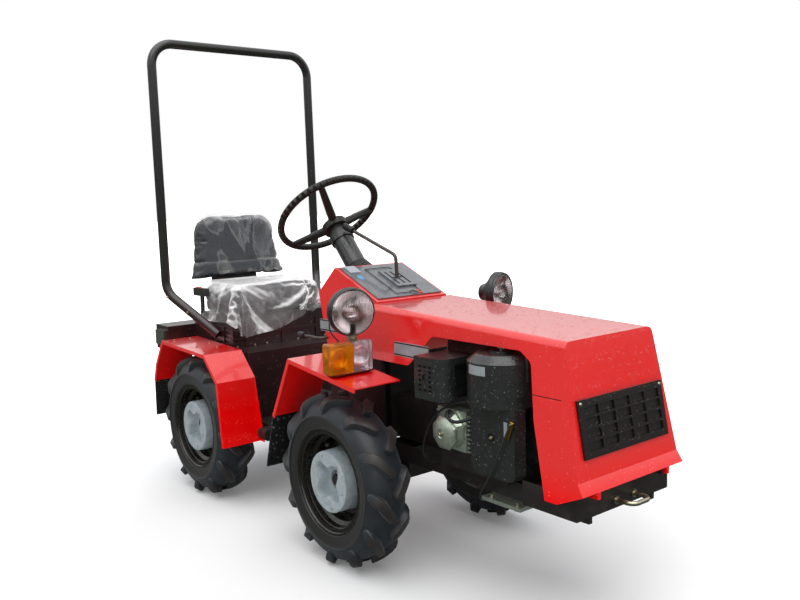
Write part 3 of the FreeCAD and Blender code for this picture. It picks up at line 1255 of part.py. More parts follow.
# ---------------------------------------------------------------- rear frame and body
wall_rear_x = dim.rear_wall_x - dim.sheet_wall
make_frame("rear_frame", rear_rail_half, dim.rear_rail_rear_x, wall_rear_x,
           [dim.rear_rail_rear_x, wall_rear_x - dim.rail_wall])
rear_wall_half = rear_rail_half + dim.rear_wall_margin
front_wall = block("front_wall", (wall_rear_x, dim.rear_wall_x),
                   (-rear_wall_half, rear_wall_half),
                   (dim.rear_wall_low_z, dim.rear_wall_high_z))

# under the seat the box stands higher than the deck in front of it
box_side = [
    (dim.seat_box_rear_x, rail_high_z), (dim.seat_box_rear_x, dim.seat_box_high_z),
    (dim.seat_front_x, dim.seat_box_high_z), (dim.seat_front_x, dim.rear_wall_high_z),
    (wall_rear_x, dim.rear_wall_high_z), (wall_rear_x, rail_high_z),
]
box_space = inset(box_side, dim.sheet_wall)
space_low = float(rail_high_z - dim.sheet_wall)
box_space = [(box_space[0][0], space_low), *box_space[1:5], (box_space[5][0], space_low)]
space_half = rear_rail_half - dim.sheet_wall
box_items = [shaped("seat_box_shell", prism(box_side, (-rear_rail_half, rear_rail_half)).cut(
    prism(box_space, (-space_half, space_half))))]
rear_top_slope = ((dim.rear_fender_nose_z - dim.rear_fender_tail_z)
                  / (dim.rear_fender_nose_x - dim.rear_fender_tail_x))
arm_high_z = (dim.rear_fender_tail_z - dim.fender_wall
              + (dim.rear_arm_x - dim.rear_fender_tail_x) * rear_top_slope)
for side_name, side in SIDES:
    box_items.append(block(f"fender_arm_{side_name}",
                           (dim.rear_arm_x - dim.rear_arm_width, dim.rear_arm_x),
                           mirrored((rear_rail_half - dim.sheet_wall, fender_arm_reach), side),
                           (arm_high_z - dim.rear_arm_height, arm_high_z)))
    for index in range(int(float(dim.rib_count))):
        rib_z = dim.seat_box_high_z - dim.rib_top_gap - (index + 1) * dim.rib_pitch
        rib_high = (rib_z, rib_z + dim.rib_high)
        box_items.append(block(
            f"side_rib_{side_name}_{index}",
            (dim.seat_front_x - dim.rib_side_long, dim.seat_front_x + dim.rib_deep),
            mirrored((rear_rail_half, rear_rail_half + dim.rib_deep), side), rib_high))
        box_items.append(block(
            f"front_rib_{side_name}_{index}", (dim.seat_front_x, dim.seat_front_x + dim.rib_deep),
            mirrored((rear_rail_half - dim.rib_front_long, rear_rail_half), side), rib_high))
lattice_z = (dim.rear_wall_high_z + dim.seat_box_high_z) / 2
lattice_x = (dim.seat_front_x, dim.seat_front_x + dim.rib_deep)
for index, y in enumerate((dim.rib_front_long - rear_rail_half, -dim.lattice_bar / 2,
                           rear_rail_half - dim.rib_front_long - dim.lattice_bar)):
    box_items.append(block(f"lattice_post_{index}", lattice_x, (y, y + dim.lattice_bar),
                           (dim.rear_wall_high_z, dim.seat_box_high_z)))
lattice_half = rear_rail_half - dim.rib_front_long
box_items.append(block("lattice_bar", lattice_x, (-lattice_half, lattice_half),
                       (lattice_z, lattice_z + dim.lattice_bar)))
finished("seat_box", join("seat_box", [front_wall, *box_items]))

steps = []
step_z = (dim.rear_wall_low_z, dim.rear_wall_low_z + dim.step_high)
for side_name, side in SIDES:
    tread = rounded_lamp((dim.step_rear_x, dim.step_front_x),
                         mirrored((dim.step_inner, dim.step_outer), side),
                         step_z, dim.step_round)
    arm_y = mirrored((dim.step_inner + dim.step_round, rear_rail_half), side)
    arm = box_between((dim.rear_wall_x, arm_y[0], step_z[0]), (dim.step_front_x, arm_y[1], step_z[1]))
    steps.append(shaped(f"step_{side_name}", tread.fuse(arm).removeSplitter()))
finished("step_plates", group("step_plates", steps))

finished("cargo_box", block("cargo_box", (dim.cargo_rear_x, dim.seat_box_rear_x),
                            (-dim.cargo_half, dim.cargo_half), (dim.cargo_low_z, dim.cargo_high_z)))
finished("tail_lamps", group("tail_lamps", [
    block(f"tail_lamp_{side_name}",
          (dim.cargo_rear_x + dim.tail_lamp_border, dim.seat_box_rear_x - dim.tail_lamp_border),
          mirrored((dim.cargo_half, dim.cargo_half + dim.tail_lamp_depth), side),
          (dim.cargo_low_z + dim.tail_lamp_border, dim.cargo_high_z - dim.tail_lamp_border))
    for side_name, side in SIDES
]))

rear_bar = block("drawbar_rear", (dim.drawbar_tip_x, rear_axle_x - dim.axle_box_length / 2),
                 (-dim.drawbar_half, dim.drawbar_half),
                 (rail_low_z - dim.drawbar_wall, rail_low_z))
drawbar_hole = rod("drawbar_hole", "z", dim.drawbar_hole_radius, dim.drawbar_wall,
                   (drawbar_hole_x, 0, rail_low_z - dim.drawbar_wall))
finished("drawbar", cut("drawbar", rear_bar, [drawbar_hole]))

rear_line = [
    (dim.rear_back_low_x, dim.rear_back_low_z), (dim.rear_back_x, dim.rear_back_z),
    (dim.rear_fender_tail_x, dim.rear_fender_tail_z),
    (dim.rear_fender_nose_x, dim.rear_fender_nose_z),
    (dim.rear_fender_knee_x, dim.rear_fender_knee_z), (dim.rear_fender_toe_x, dim.rear_fender_toe_z),
]
rear_fenders, rear_flaps = [], []
for side_name, side in SIDES:
    span = mirrored((rear_fender_inner, fender_outer), side)
    rear_outline = plate_along(rear_line, dim.fender_wall)
    flange_y = mirrored((rear_fender_inner, rear_fender_inner + dim.fender_wall), side)
    flange = prism([(dim.rear_fender_knee_x, dim.rear_fender_knee_z),
                    (dim.rear_fender_toe_x + dim.rear_flange, dim.rear_fender_toe_z),
                    (dim.rear_fender_toe_x, dim.rear_fender_toe_z)], flange_y)
    rear_fenders.append(shaped(f"rear_fender_{side_name}",
                               lipped(rear_line, rear_outline, side, span).fuse(flange)))
    flap_span = mirrored((rear_fender_inner + dim.flap_inset,
                          fender_outer - dim.flap_inset), side)
    flap = [(dim.rear_back_low_x - dim.flap_wall, dim.rear_back_low_z + dim.flap_overlap),
            (dim.rear_back_low_x, dim.rear_back_low_z + dim.flap_overlap),
            (dim.rear_back_low_x, dim.rear_back_low_z),
            (dim.rear_flap_low_x + dim.flap_wall, dim.rear_flap_low_z),
            (dim.rear_flap_low_x, dim.rear_flap_low_z),
            (dim.rear_back_low_x - dim.flap_wall, dim.rear_back_low_z)]
    flap_shape = prism(flap, flap_span).cut(prism(rear_outline, span))
    flap_shape = max(flap_shape.Solids, key=lambda solid: solid.Volume)
    rear_flaps.append(shaped(f"rear_flap_{side_name}", flap_shape))
finished("rear_fenders", group("rear_fenders", rear_fenders))
finished("rear_flaps", group("rear_flaps", rear_flaps))


# ---------------------------------------------------------------- seat
seat_pan = block("seat_pan", (dim.seat_rear_x, dim.seat_front_x),
                 (dim.bracket_wall - dim.seat_half, dim.seat_half - dim.bracket_wall),
                 (dim.seat_box_high_z, dim.seat_pan_high_z))
finished("seat_cushion", rounded_block(
    "seat_cushion", (dim.seat_rear_x, dim.seat_front_x), (-dim.seat_half, dim.seat_half),
    (dim.seat_pan_high_z, dim.cushion_high_z), dim.cushion_round))

back_height = float(dim.back_height)
back_corners = [(-dim.back_half, 0), (dim.back_half, 0), (dim.back_top_half, dim.back_height),
                (-dim.back_top_half, dim.back_height), (-dim.back_half, 0)]
back_shape = Part.Face(Part.makePolygon([
    Vector(-float(dim.back_thickness), float(y), float(z)) for y, z in back_corners
])).extrude(Vector(float(dim.back_thickness), 0, 0))
top_edges = [edge for edge in back_shape.Edges
             if abs(edge.tangentAt(edge.FirstParameter).x) > 0.9
             and edge.CenterOfMass.z > back_height / 2]
back_shape = back_shape.makeFillet(float(dim.back_round), top_edges)
back_shape.Placement = FreeCAD.Placement(
    Vector(float(dim.seat_rear_x), 0, float(back_low_z)),
    FreeCAD.Rotation(Vector(0, 1, 0), -float(dim.back_lean)))
finished("seat_back", shaped("seat_back", back_shape))

bracket_wall = float(dim.bracket_wall)
drop = float(back_low_z - dim.seat_box_high_z) / math.cos(math.radians(float(dim.back_lean)))
bracket_half = float(dim.back_half) / 2
post = Part.makeBox(bracket_wall, bracket_half * 2, drop * 2,
                    Vector(-float(dim.back_thickness) - bracket_wall, -bracket_half, -drop))
post.Placement = back_shape.Placement
foot = Part.makeBox(float(dim.back_thickness) + bracket_wall, bracket_half * 2, bracket_wall,
                    Vector(float(dim.seat_rear_x - dim.back_thickness) - bracket_wall,
                           -bracket_half, float(dim.seat_box_high_z)))
above_box = Part.makeBox(drop * 4, bracket_half * 4, drop * 4,
                         Vector(float(dim.seat_rear_x) - drop * 2, -bracket_half * 2,
                                float(dim.seat_box_high_z)))
bracket = shaped("seat_bracket", post.common(above_box).fuse(foot))
finished("seat_base", join("seat_base", [seat_pan, bracket]))

buckle_inner = dim.seat_half + dim.bracket_wall
finished("belt_buckle", join("belt_buckle", [
    block("buckle_stalk", (dim.buckle_x, dim.buckle_x + dim.buckle_length / 3),
          (-buckle_inner, -dim.seat_half), (dim.seat_box_high_z, dim.buckle_low_z)),
    block("buckle_body", (dim.buckle_x - dim.buckle_length / 3, dim.buckle_x + dim.buckle_length),
          (-buckle_inner - dim.buckle_width, -dim.seat_half), (dim.buckle_low_z, dim.buckle_high_z)),
]))


# ---------------------------------------------------------------- roll bar
bar_half, bar_x = float(dim.bar_half), float(dim.bar_x)
foot_left = Vector(float(dim.bar_foot_x), float(rear_rail_half + dim.bar_foot_gap),
                   float(dim.bar_foot_z))
bend_left = Vector(float(dim.bar_bend_x), bar_half, float(dim.bar_bend_z))
top_left = Vector(bar_x, bar_half, float(dim.bar_top_z))
mirror = FreeCAD.Matrix()
mirror.scale(Vector(1, -1, 1))
bar_points = [foot_left, bend_left, top_left, mirror.multVec(top_left), mirror.multVec(bend_left),
              mirror.multVec(foot_left)]
bar_shape = bent_tube(bar_points, float(dim.bar_radius), float(dim.bar_corner))
for side_name, side in SIDES:
    plate = float(dim.bar_foot_plate)
    foot = Part.makeBox(plate, float(dim.bracket_wall), plate)
    foot_y = sorted((float(rear_rail_half) * side,
                     float(rear_rail_half + dim.bracket_wall) * side))[0]
    foot.translate(Vector(float(dim.bar_foot_x) - plate / 2, foot_y,
                          float(dim.bar_foot_z) - plate / 2))
    bar_shape = bar_shape.fuse(foot)
bar_shape = bar_shape.cut(prism(box_side, (-rear_rail_half, rear_rail_half)))
finished("roll_bar", shaped("roll_bar", bar_shape))


# ---------------------------------------------------------------- check and export
document.recompute()
for item in document.Objects:
    if any(word in ("Invalid", "Error") for word in item.State):
        raise RuntimeError(f"{item.Label} failed: {item.State}")
os.makedirs("parts", exist_ok=True)
for name, item in pieces.items():
    shape = item.Shape
    if shape.isNull() or not shape.isValid() or not shape.Solids:
        raise RuntimeError(f"{name} has no valid solid")
    shape.exportStep(f"parts/{name}.step")
    box = shape.BoundBox
    print(f"{name:22s} solids {len(shape.Solids)} x {box.XMin:.0f}..{box.XMax:.0f} "
          f"y {box.YMin:.0f}..{box.YMax:.0f} z {box.ZMin:.0f}..{box.ZMax:.0f}")
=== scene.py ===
"""Looks for a small articulated four-wheel tractor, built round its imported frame."""
import json
import math

import bmesh
import bpy
from mathutils import Matrix, Vector


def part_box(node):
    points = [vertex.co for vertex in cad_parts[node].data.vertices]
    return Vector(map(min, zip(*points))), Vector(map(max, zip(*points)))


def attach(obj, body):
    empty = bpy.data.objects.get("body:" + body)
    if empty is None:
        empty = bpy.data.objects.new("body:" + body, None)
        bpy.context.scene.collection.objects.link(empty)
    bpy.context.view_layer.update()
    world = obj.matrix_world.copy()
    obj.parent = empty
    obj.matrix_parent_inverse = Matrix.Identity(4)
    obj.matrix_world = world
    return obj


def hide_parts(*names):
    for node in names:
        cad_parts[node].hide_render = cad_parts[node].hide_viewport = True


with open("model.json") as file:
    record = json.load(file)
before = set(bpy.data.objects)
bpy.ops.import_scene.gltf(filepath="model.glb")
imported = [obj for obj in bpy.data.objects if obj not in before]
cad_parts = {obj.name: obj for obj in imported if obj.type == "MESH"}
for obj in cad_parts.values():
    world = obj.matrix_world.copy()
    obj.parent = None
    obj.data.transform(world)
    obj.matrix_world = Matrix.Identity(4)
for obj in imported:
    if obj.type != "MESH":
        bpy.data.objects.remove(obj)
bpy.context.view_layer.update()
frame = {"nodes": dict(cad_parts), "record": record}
record = frame["record"]
nodes = frame["nodes"]


# ---------------------------------------------------------------- room, lamp and camera
# A pale floor that fades into a white sky, lit from everywhere and a little more from
# above, as under thin cloud. Shiny parts mirror dark grass and trees low down. The camera
# stands at the height of a person's chest, ahead of the tractor on its right.
def tone(code):
    """An sRGB hex colour, as the linear one that shaders take."""
    parts = [int(code[place:place + 2], 16) / 255 for place in (1, 3, 5)]
    parts = [p / 12.92 if p <= 0.04045 else ((p + 0.055) / 1.055) ** 2.4 for p in parts]
    return (*parts, 1.0)


def add(tree, kind, inputs=None, **settings):
    """Put a node in a tree with its settings, and set or link its inputs."""
    item = tree.nodes.new(kind)
    for name, value in settings.items():
        setattr(item, name, value)
    for name, value in (inputs or {}).items():
        if isinstance(value, bpy.types.NodeSocket):
            tree.links.new(value, item.inputs[name])
        else:
            item.inputs[name].default_value = value
    return item


scene = bpy.context.scene
scene.view_settings.view_transform = "Standard"
scene.world = bpy.data.worlds.new("white_sky")
scene.world.use_nodes = True
sky = scene.world.node_tree
sky.nodes.clear()
rays = add(sky, "ShaderNodeLightPath")
seen = add(sky, "ShaderNodeMath", {0: rays.outputs["Is Camera Ray"],
                                   1: rays.outputs["Is Transmission Ray"]}, operation="ADD",
           use_clamp=True)
sky_places = add(sky, "ShaderNodeTexCoord")
look = add(sky, "ShaderNodeSeparateXYZ", {0: sky_places.outputs["Generated"]})
height = add(sky, "ShaderNodeMapRange", {0: look.outputs[2], 1: 0.04, 2: 0.24, 3: 0.0, 4: 1.0})
trees = add(sky, "ShaderNodeMix", {0: height.outputs[0], 6: tone("#3A4038"), 7: tone("#FFFFFF")},
            data_type="RGBA")
sky_light = add(sky, "ShaderNodeBackground", {"Color": tone("#F6F8FF"), "Strength": 0.58})
sky_glint = add(sky, "ShaderNodeBackground", {"Color": trees.outputs[2], "Strength": 1.0})
sky_seen = add(sky, "ShaderNodeBackground", {"Color": tone("#FFFFFF"), "Strength": 1.0})
first_mix = add(sky, "ShaderNodeMixShader", {0: rays.outputs["Is Glossy Ray"],
                                             1: sky_light.outputs[0], 2: sky_glint.outputs[0]})
sky_mix = add(sky, "ShaderNodeMixShader", {0: seen.outputs[0], 1: first_mix.outputs[0],
                                           2: sky_seen.outputs[0]})
add(sky, "ShaderNodeOutputWorld", {"Surface": sky_mix.outputs[0]})

cloud_light = bpy.data.lights.new("cloud_light", "SUN")
cloud_light.energy = 1.75
cloud_light.angle = math.radians(70)
cloud = bpy.data.objects.new("cloud_light", cloud_light)
cloud.rotation_euler = (math.radians(14), math.radians(16), 0)
scene.collection.objects.link(cloud)


def mesh_object(name, points, faces):
    """A mesh object whose place is in its mesh."""
    mesh = bpy.data.meshes.new(name)
    mesh.from_pydata([tuple(point) for point in points], [], faces)
    item = bpy.data.objects.new(name, mesh)
    scene.collection.objects.link(item)
    return item


def new_material(name, colour, roughness, metallic=0.0):
    """A material, its tree, its Principled shader and the places on the piece in metres."""
    stuff = bpy.data.materials.new(name)
    stuff.use_nodes = True
    tree = stuff.node_tree
    tree.nodes.clear()
    shader = add(tree, "ShaderNodeBsdfPrincipled", {
        "Base Color": tone(colour), "Roughness": roughness, "Metallic": metallic})
    add(tree, "ShaderNodeOutputMaterial", {"Surface": shader.outputs[0]})
    place = add(tree, "ShaderNodeTexCoord").outputs["Object"]
    return stuff, tree, shader, place


floor_reach = 60.0
floor = mesh_object("floor", [(-floor_reach, -floor_reach, 0), (floor_reach, -floor_reach, 0),
                              (floor_reach, floor_reach, 0), (-floor_reach, floor_reach, 0)],
                    [(0, 1, 2, 3)])
# painted concrete: matt and pale, so that only the contact shadow shows on it; it glows
# white far off, and is dark grass to whatever mirrors it
painted_floor, tree, shader, place = new_material("painted_floor", "#F7F7F5", 0.9)
rays = add(tree, "ShaderNodeLightPath")
ground = add(tree, "ShaderNodeMix", {0: rays.outputs["Is Glossy Ray"], 6: tone("#F7F7F5"),
                                     7: tone("#41463C")}, data_type="RGBA")
tree.links.new(ground.outputs[2], shader.inputs["Base Color"])
away = add(tree, "ShaderNodeVectorMath", {0: place}, operation="LENGTH")
far = add(tree, "ShaderNodeMapRange", {0: away.outputs["Value"], 1: 1.0, 2: 3.6, 3: 0.1, 4: 1.0})
far_seen = add(tree, "ShaderNodeMath", {0: far.outputs[0], 1: rays.outputs["Is Camera Ray"]},
               operation="MULTIPLY")
shader.inputs["Emission Color"].default_value = tone("#FFFFFF")
tree.links.new(far_seen.outputs[0], shader.inputs["Emission Strength"])
floor.data.materials.append(painted_floor)

eye = Vector((2.643, -2.003, 1.269))
heading, dip, lean = 2.4611, 0.1183, -0.0278
level = Vector((math.cos(heading), math.sin(heading), 0))
up = Vector((0, 0, 1))
forward = level * math.cos(dip) - up * math.sin(dip)
right = level.cross(up)
over = right.cross(forward)
across = right * math.cos(lean) + over * math.sin(lean)
upward = over * math.cos(lean) - right * math.sin(lean)
lens = bpy.data.cameras.new("camera")
lens.lens = 38.41
lens.sensor_width = 36.0
camera = bpy.data.objects.new("camera", lens)
camera.matrix_world = Matrix.Translation(eye) @ Matrix(
    (across, upward, -forward)).transposed().to_4x4()
scene.collection.objects.link(camera)
scene.camera = camera


# ---------------------------------------------------------------- frames, axles and driveline
# Welded rails, cross members, axle casings, gearbox case, pivot and hitch, of rolled and
# cast steel, brushed over with one coat of satin black enamel.
def wet_drops(tree, place, cell, share):
    """Rain drops on a surface: their height, 0 where it is bare, and a mask of them.

    The cell is the mean distance between drops in metres, and the share how many hold one.
    """
    drops = add(tree, "ShaderNodeTexVoronoi", {"Vector": place, "Scale": 1.0 / cell})
    chance = add(tree, "ShaderNodeSeparateColor", {0: drops.outputs["Color"]})
    reach = add(tree, "ShaderNodeMapRange", {0: chance.outputs[0], 1: 1.0 - share, 2: 1.0,
                                             3: 0.0, 4: 0.42})
    dome = add(tree, "ShaderNodeMath", {0: reach.outputs[0], 1: drops.outputs["Distance"]},
               operation="SUBTRACT", use_clamp=True)
    height = add(tree, "ShaderNodeMath", {0: dome.outputs[0], 1: 0.5}, operation="POWER")
    mask = add(tree, "ShaderNodeMath", {0: dome.outputs[0], 1: 0.01}, operation="GREATER_THAN")
    return height.outputs[0], mask.outputs[0]


def toned(tree, shader, share, dark, light):
    """Colour a surface between two tones by a share from 0 to 1, and give the colour back."""
    mixed = add(tree, "ShaderNodeMix", {0: share, 6: tone(dark), 7: tone(light)},
                data_type="RGBA")
    tree.links.new(mixed.outputs[2], shader.inputs["Base Color"])
    return mixed.outputs[2]


def speckled(tree, shader, place, colour, cell, share, pale):
    """Glints of sky on drops that lie on a surface: paler dots on its colour."""
    height, mask = wet_drops(tree, place, cell, share)
    dots = add(tree, "ShaderNodeMix", {0: mask, 6: colour, 7: tone(pale)}, data_type="RGBA")
    tree.links.new(dots.outputs[2], shader.inputs["Base Color"])


def rough_skin(tree, shader, place, size, detail, strength, depth):
    """A fine unevenness of a surface, of a grain size and a depth in metres."""
    grain = add(tree, "ShaderNodeTexNoise", {"Vector": place, "Scale": 1 / size, "Detail": detail})
    bump = add(tree, "ShaderNodeBump", {"Strength": strength, "Distance": depth,
                                        "Height": grain.outputs[0]})
    tree.links.new(bump.outputs[0], shader.inputs["Normal"])


def dress(stuff, *names):
    """Give carried-over pieces their material."""
    for name in names:
        slots = nodes[name].data.materials
        slots.clear()
        slots.append(stuff)


# alkyd enamel on hot-rolled steel: low satin shine, brush waves and a film of brown dust
black_enamel, tree, shader, place = new_material("black_enamel", "#26211E", 0.42)
patches = add(tree, "ShaderNodeTexNoise", {"Vector": place, "Scale": 1 / 0.05, "Detail": 6.0})
dust = add(tree, "ShaderNodeMapRange", {0: patches.outputs[0], 1: 0.52, 2: 0.78, 3: 0.0, 4: 0.4})
toned(tree, shader, dust.outputs[0], "#231F1E", "#4A3F36")
shine = add(tree, "ShaderNodeMapRange", {0: patches.outputs[0], 1: 0.3, 2: 0.7, 3: 0.34,
                                         4: 0.55})
tree.links.new(shine.outputs[0], shader.inputs["Roughness"])
rough_skin(tree, shader, place, size=0.006, detail=2.0, strength=0.25, depth=0.0006)

dress(black_enamel, "front_frame", "rear_frame", "front_axle", "rear_axle", "pivot_fork",
      "pivot_arm", "transmission", "drawbar", "front_bumper", "front_support", "step_plates",
      "seat_base")


# ---------------------------------------------------------------- tyres
# Cross-ply farm tyres of carbon-black rubber, moulded with twelve slanting lugs on each
# shoulder. The beads sit on the rim under pressure, and the lug tips are worn brown.
def repeated(name, piece, count, turn=(0.0, 0.0, 0.0), step=(0.0, 0.0, 0.0)):
    """Copies of a piece, each turned and moved on from the last, as one plain mesh object."""
    tree = bpy.data.node_groups.new(name, "GeometryNodeTree")
    face = tree.interface
    face.new_socket("Geometry", in_out="OUTPUT", socket_type="NodeSocketGeometry")
    sockets = {label: face.new_socket(label, in_out="INPUT", socket_type=kind)
               for label, kind in (("Piece", "NodeSocketObject"), ("Count", "NodeSocketInt"),
                                   ("Turn", "NodeSocketVector"), ("Step", "NodeSocketVector"),
                                   ("Material", "NodeSocketMaterial"))}
    given = add(tree, "NodeGroupInput")
    line = add(tree, "GeometryNodeMeshLine", {"Count": given.outputs["Count"],
                                              "Offset": given.outputs["Step"]})
    source = add(tree, "GeometryNodeObjectInfo", {"Object": given.outputs["Piece"]})
    number = add(tree, "GeometryNodeInputIndex")
    turned = add(tree, "ShaderNodeVectorMath", {0: given.outputs["Turn"],
                                                "Scale": number.outputs[0]}, operation="SCALE")
    copies = add(tree, "GeometryNodeInstanceOnPoints", {
        "Points": line.outputs[0], "Instance": source.outputs["Geometry"],
        "Rotation": turned.outputs[0]})
    real = add(tree, "GeometryNodeRealizeInstances", {"Geometry": copies.outputs[0]})
    coated = add(tree, "GeometryNodeSetMaterial", {"Geometry": real.outputs[0],
                                                   "Material": given.outputs["Material"]})
    add(tree, "NodeGroupOutput", {0: coated.outputs[0]})
    holder = mesh_object(name, [], [])
    work = holder.modifiers.new("copies", "NODES")
    work.node_group = tree
    for label, value in (("Piece", piece), ("Count", count), ("Turn", turn), ("Step", step),
                         ("Material", piece.data.materials[0])):
        work[sockets[label].identifier] = value
    bpy.context.view_layer.update()
    plain = bpy.data.meshes.new_from_object(
        holder.evaluated_get(bpy.context.evaluated_depsgraph_get()))
    holder.modifiers.clear()
    holder.data = plain
    holder.data.name = name
    bpy.data.objects.remove(piece)
    return holder


def applied(item):
    """Put a piece's modifiers into its mesh."""
    bpy.context.view_layer.update()
    item.data = bpy.data.meshes.new_from_object(
        item.evaluated_get(bpy.context.evaluated_depsgraph_get()))
    item.modifiers.clear()
    return item


def closed_up(item, angle=40.0):
    """Merge doubles, point the faces outwards, and shade smooth below an edge angle."""
    form = bmesh.new()
    form.from_mesh(item.data)
    bmesh.ops.remove_doubles(form, verts=form.verts, dist=0.00002)
    bmesh.ops.recalc_face_normals(form, faces=form.faces)
    form.to_mesh(item.data)
    form.free()
    item.data.shade_smooth()
    item.data.set_sharp_from_angle(angle=math.radians(angle))
    return item


def moved(item, shift, spin=None):
    """Move a piece's mesh, after turning it."""
    turn = spin.to_4x4() if spin else Matrix.Identity(4)
    item.data.transform(Matrix.Translation(shift) @ turn)
    item.data.update()
    return item


def joined(name, items):
    """Several mesh objects as one, with the materials of each."""
    form = bmesh.new()
    stuffs = []
    for item in items:
        slots = list(item.data.materials) or [None]
        start = len(form.faces)
        form.from_mesh(item.data)
        form.faces.ensure_lookup_table()
        for face in form.faces[start:]:
            stuff = slots[min(face.material_index, len(slots) - 1)]
            if stuff not in stuffs:
                stuffs.append(stuff)
            face.material_index = stuffs.index(stuff)
        bpy.data.objects.remove(item)
    whole = mesh_object(name, [], [])
    form.to_mesh(whole.data)
    form.free()
    for stuff in stuffs:
        whole.data.materials.append(stuff)
    return whole


def spun(name, profile, steps, stuff, closed=False):
    """A profile of (distance along Y, radius), spun about the Y axis."""
    points, faces = [], []
    rows = len(profile)
    for step in range(steps):
        angle = 2 * math.pi * step / steps
        points += [(r * math.cos(angle), w, r * math.sin(angle)) for w, r in profile]
    for step in range(steps):
        here, after = step * rows, (step + 1) % steps * rows
        for row in range(rows if closed else rows - 1):
            other = (row + 1) % rows
            faces.append((here + row, here + other, after + other, after + row))
    item = mesh_object(name, points, faces)
    item.data.materials.append(stuff)
    return closed_up(item, 30.0)


tyre_lugs = 12
lug_spacing = 2 * math.pi / tyre_lugs
flank_radius = 0.2325
# half of the carcass from its middle to the bead, in metres: across the tread, and radius
carcass_half = [
    (0.0, 0.2835), (0.020, 0.2828), (0.038, 0.2798), (0.052, 0.2732), (0.063, 0.2630),
    (0.0708, 0.2500), (0.0752, 0.2395), (0.0778, 0.2330), (0.0786, 0.2310), (0.0770, 0.2295),
    (0.0762, 0.2275), (0.0770, 0.2262), (0.0758, 0.2245), (0.0748, 0.2180), (0.0730, 0.2020),
    (0.0705, 0.1905), (0.0712, 0.1885), (0.0690, 0.1868), (0.0640, 0.1850), (0.0610, 0.1780),
    (0.0600, 0.1650),
]
lug_flare = 0.005
places_unworn = 3
# along one lug from the sidewall to its inner end: foot and top across the tread and their
# radii, its turn round the tyre in degrees, and its half width
lug_line = [
    ((0.0740, 0.2400), (0.0762, 0.2405), 3.4, 0.0030),
    ((0.0715, 0.2470), (0.0775, 0.2490), 2.5, 0.0100),
    ((0.0670, 0.2550), (0.0768, 0.2620), 1.4, 0.0140),
    ((0.0600, 0.2620), (0.0738, 0.2770), 0.2, 0.0160),
    ((0.0530, 0.2670), (0.0672, 0.2890), -1.2, 0.0164),
    ((0.0440, 0.2712), (0.0545, 0.2975), -3.4, 0.0160),
    ((0.0340, 0.2742), (0.0390, 0.3015), -6.6, 0.0152),
    ((0.0220, 0.2765), (0.0240, 0.3040), -10.4, 0.0142),
    ((0.0090, 0.2780), (0.0098, 0.3048), -13.6, 0.0130),
    ((0.0015, 0.2785), (0.0020, 0.3048), -15.2, 0.0080),
]

# carbon-black rubber: blue-grey bloom on the carcass, brown scuffed tips, and olive dust on
# the flanks
tyre_rubber, tree, shader, place = new_material("tyre_rubber", "#1C2226", 0.45)
tip = add(tree, "ShaderNodeAttribute", attribute_name="tip")
blotches = add(tree, "ShaderNodeTexNoise", {"Vector": place, "Scale": 1 / 0.03, "Detail": 5.0})
bloom = add(tree, "ShaderNodeMix", {0: blotches.outputs[0], 6: tone("#0F1316"), 7: tone("#262F37")},
            data_type="RGBA")
flank = add(tree, "ShaderNodeMapRange", {0: tip.outputs["Fac"], 1: -0.5, 2: 0.0, 3: 1.0, 4: 0.0})
scuff = add(tree, "ShaderNodeMix", {0: blotches.outputs[0], 6: tone("#141210"), 7: tone("#3A302A")},
            data_type="RGBA")
worn = add(tree, "ShaderNodeMapRange", {0: tip.outputs["Fac"], 1: 0.45, 2: 1.0, 3: 0.0, 4: 0.75})
tread = add(tree, "ShaderNodeMix", {0: worn.outputs[0], 6: bloom.outputs[2], 7: scuff.outputs[2]},
            data_type="RGBA")
colour = add(tree, "ShaderNodeMix", {0: flank.outputs[0], 6: tread.outputs[2], 7: tone("#121310")},
             data_type="RGBA")
tree.links.new(colour.outputs[2], shader.inputs["Base Color"])
rough_skin(tree, shader, place, size=0.004, detail=3.0, strength=0.35, depth=0.0008)
shader.inputs["Sheen Weight"].default_value = 0.12


def one_lug(side, lead):
    """One lug on one shoulder, at the front of the tyre, as a closed bevelled bar."""
    places = []
    for foot, top, turn, half in lug_line:
        angle = math.radians(turn) + lead
        places.append([Vector((r * math.cos(angle), w * side, r * math.sin(angle)))
                       for w, r in (foot, top)] + [half])
    points, last = [], len(places) - 1
    for index, (foot, top, half) in enumerate(places):
        before, after = places[max(index - 1, 0)], places[min(index + 1, last)]
        run = (after[0] + after[1] - before[0] - before[1]).normalized()
        beside = run.cross((top - foot).normalized()).normalized()
        points += [foot - beside * (half + lug_flare), top - beside * half,
                   top + beside * half, foot + beside * (half + lug_flare)]
    faces = [(0, 1, 2, 3), tuple(last * 4 + corner for corner in (3, 2, 1, 0))]
    for index in range(last):
        for corner in range(4):
            other = (corner + 1) % 4
            faces.append((index * 4 + corner, index * 4 + 4 + corner,
                          index * 4 + 4 + other, index * 4 + other))
    item = mesh_object("lug", points, faces)
    tips = item.data.attributes.new("tip", "FLOAT", "POINT")
    for index in range(len(points)):
        worn_top = index % 4 in (1, 2) and index >= 4 * places_unworn
        tips.data[index].value = 1.0 if worn_top else 0.3
    item.data.materials.append(tyre_rubber)
    closed_up(item)
    edges = item.modifiers.new("edges", "BEVEL")
    edges.width = 0.0035
    edges.segments = 2
    edges.limit_method = "ANGLE"
    edges.angle_limit = math.radians(45)
    return closed_up(applied(item), 50.0)


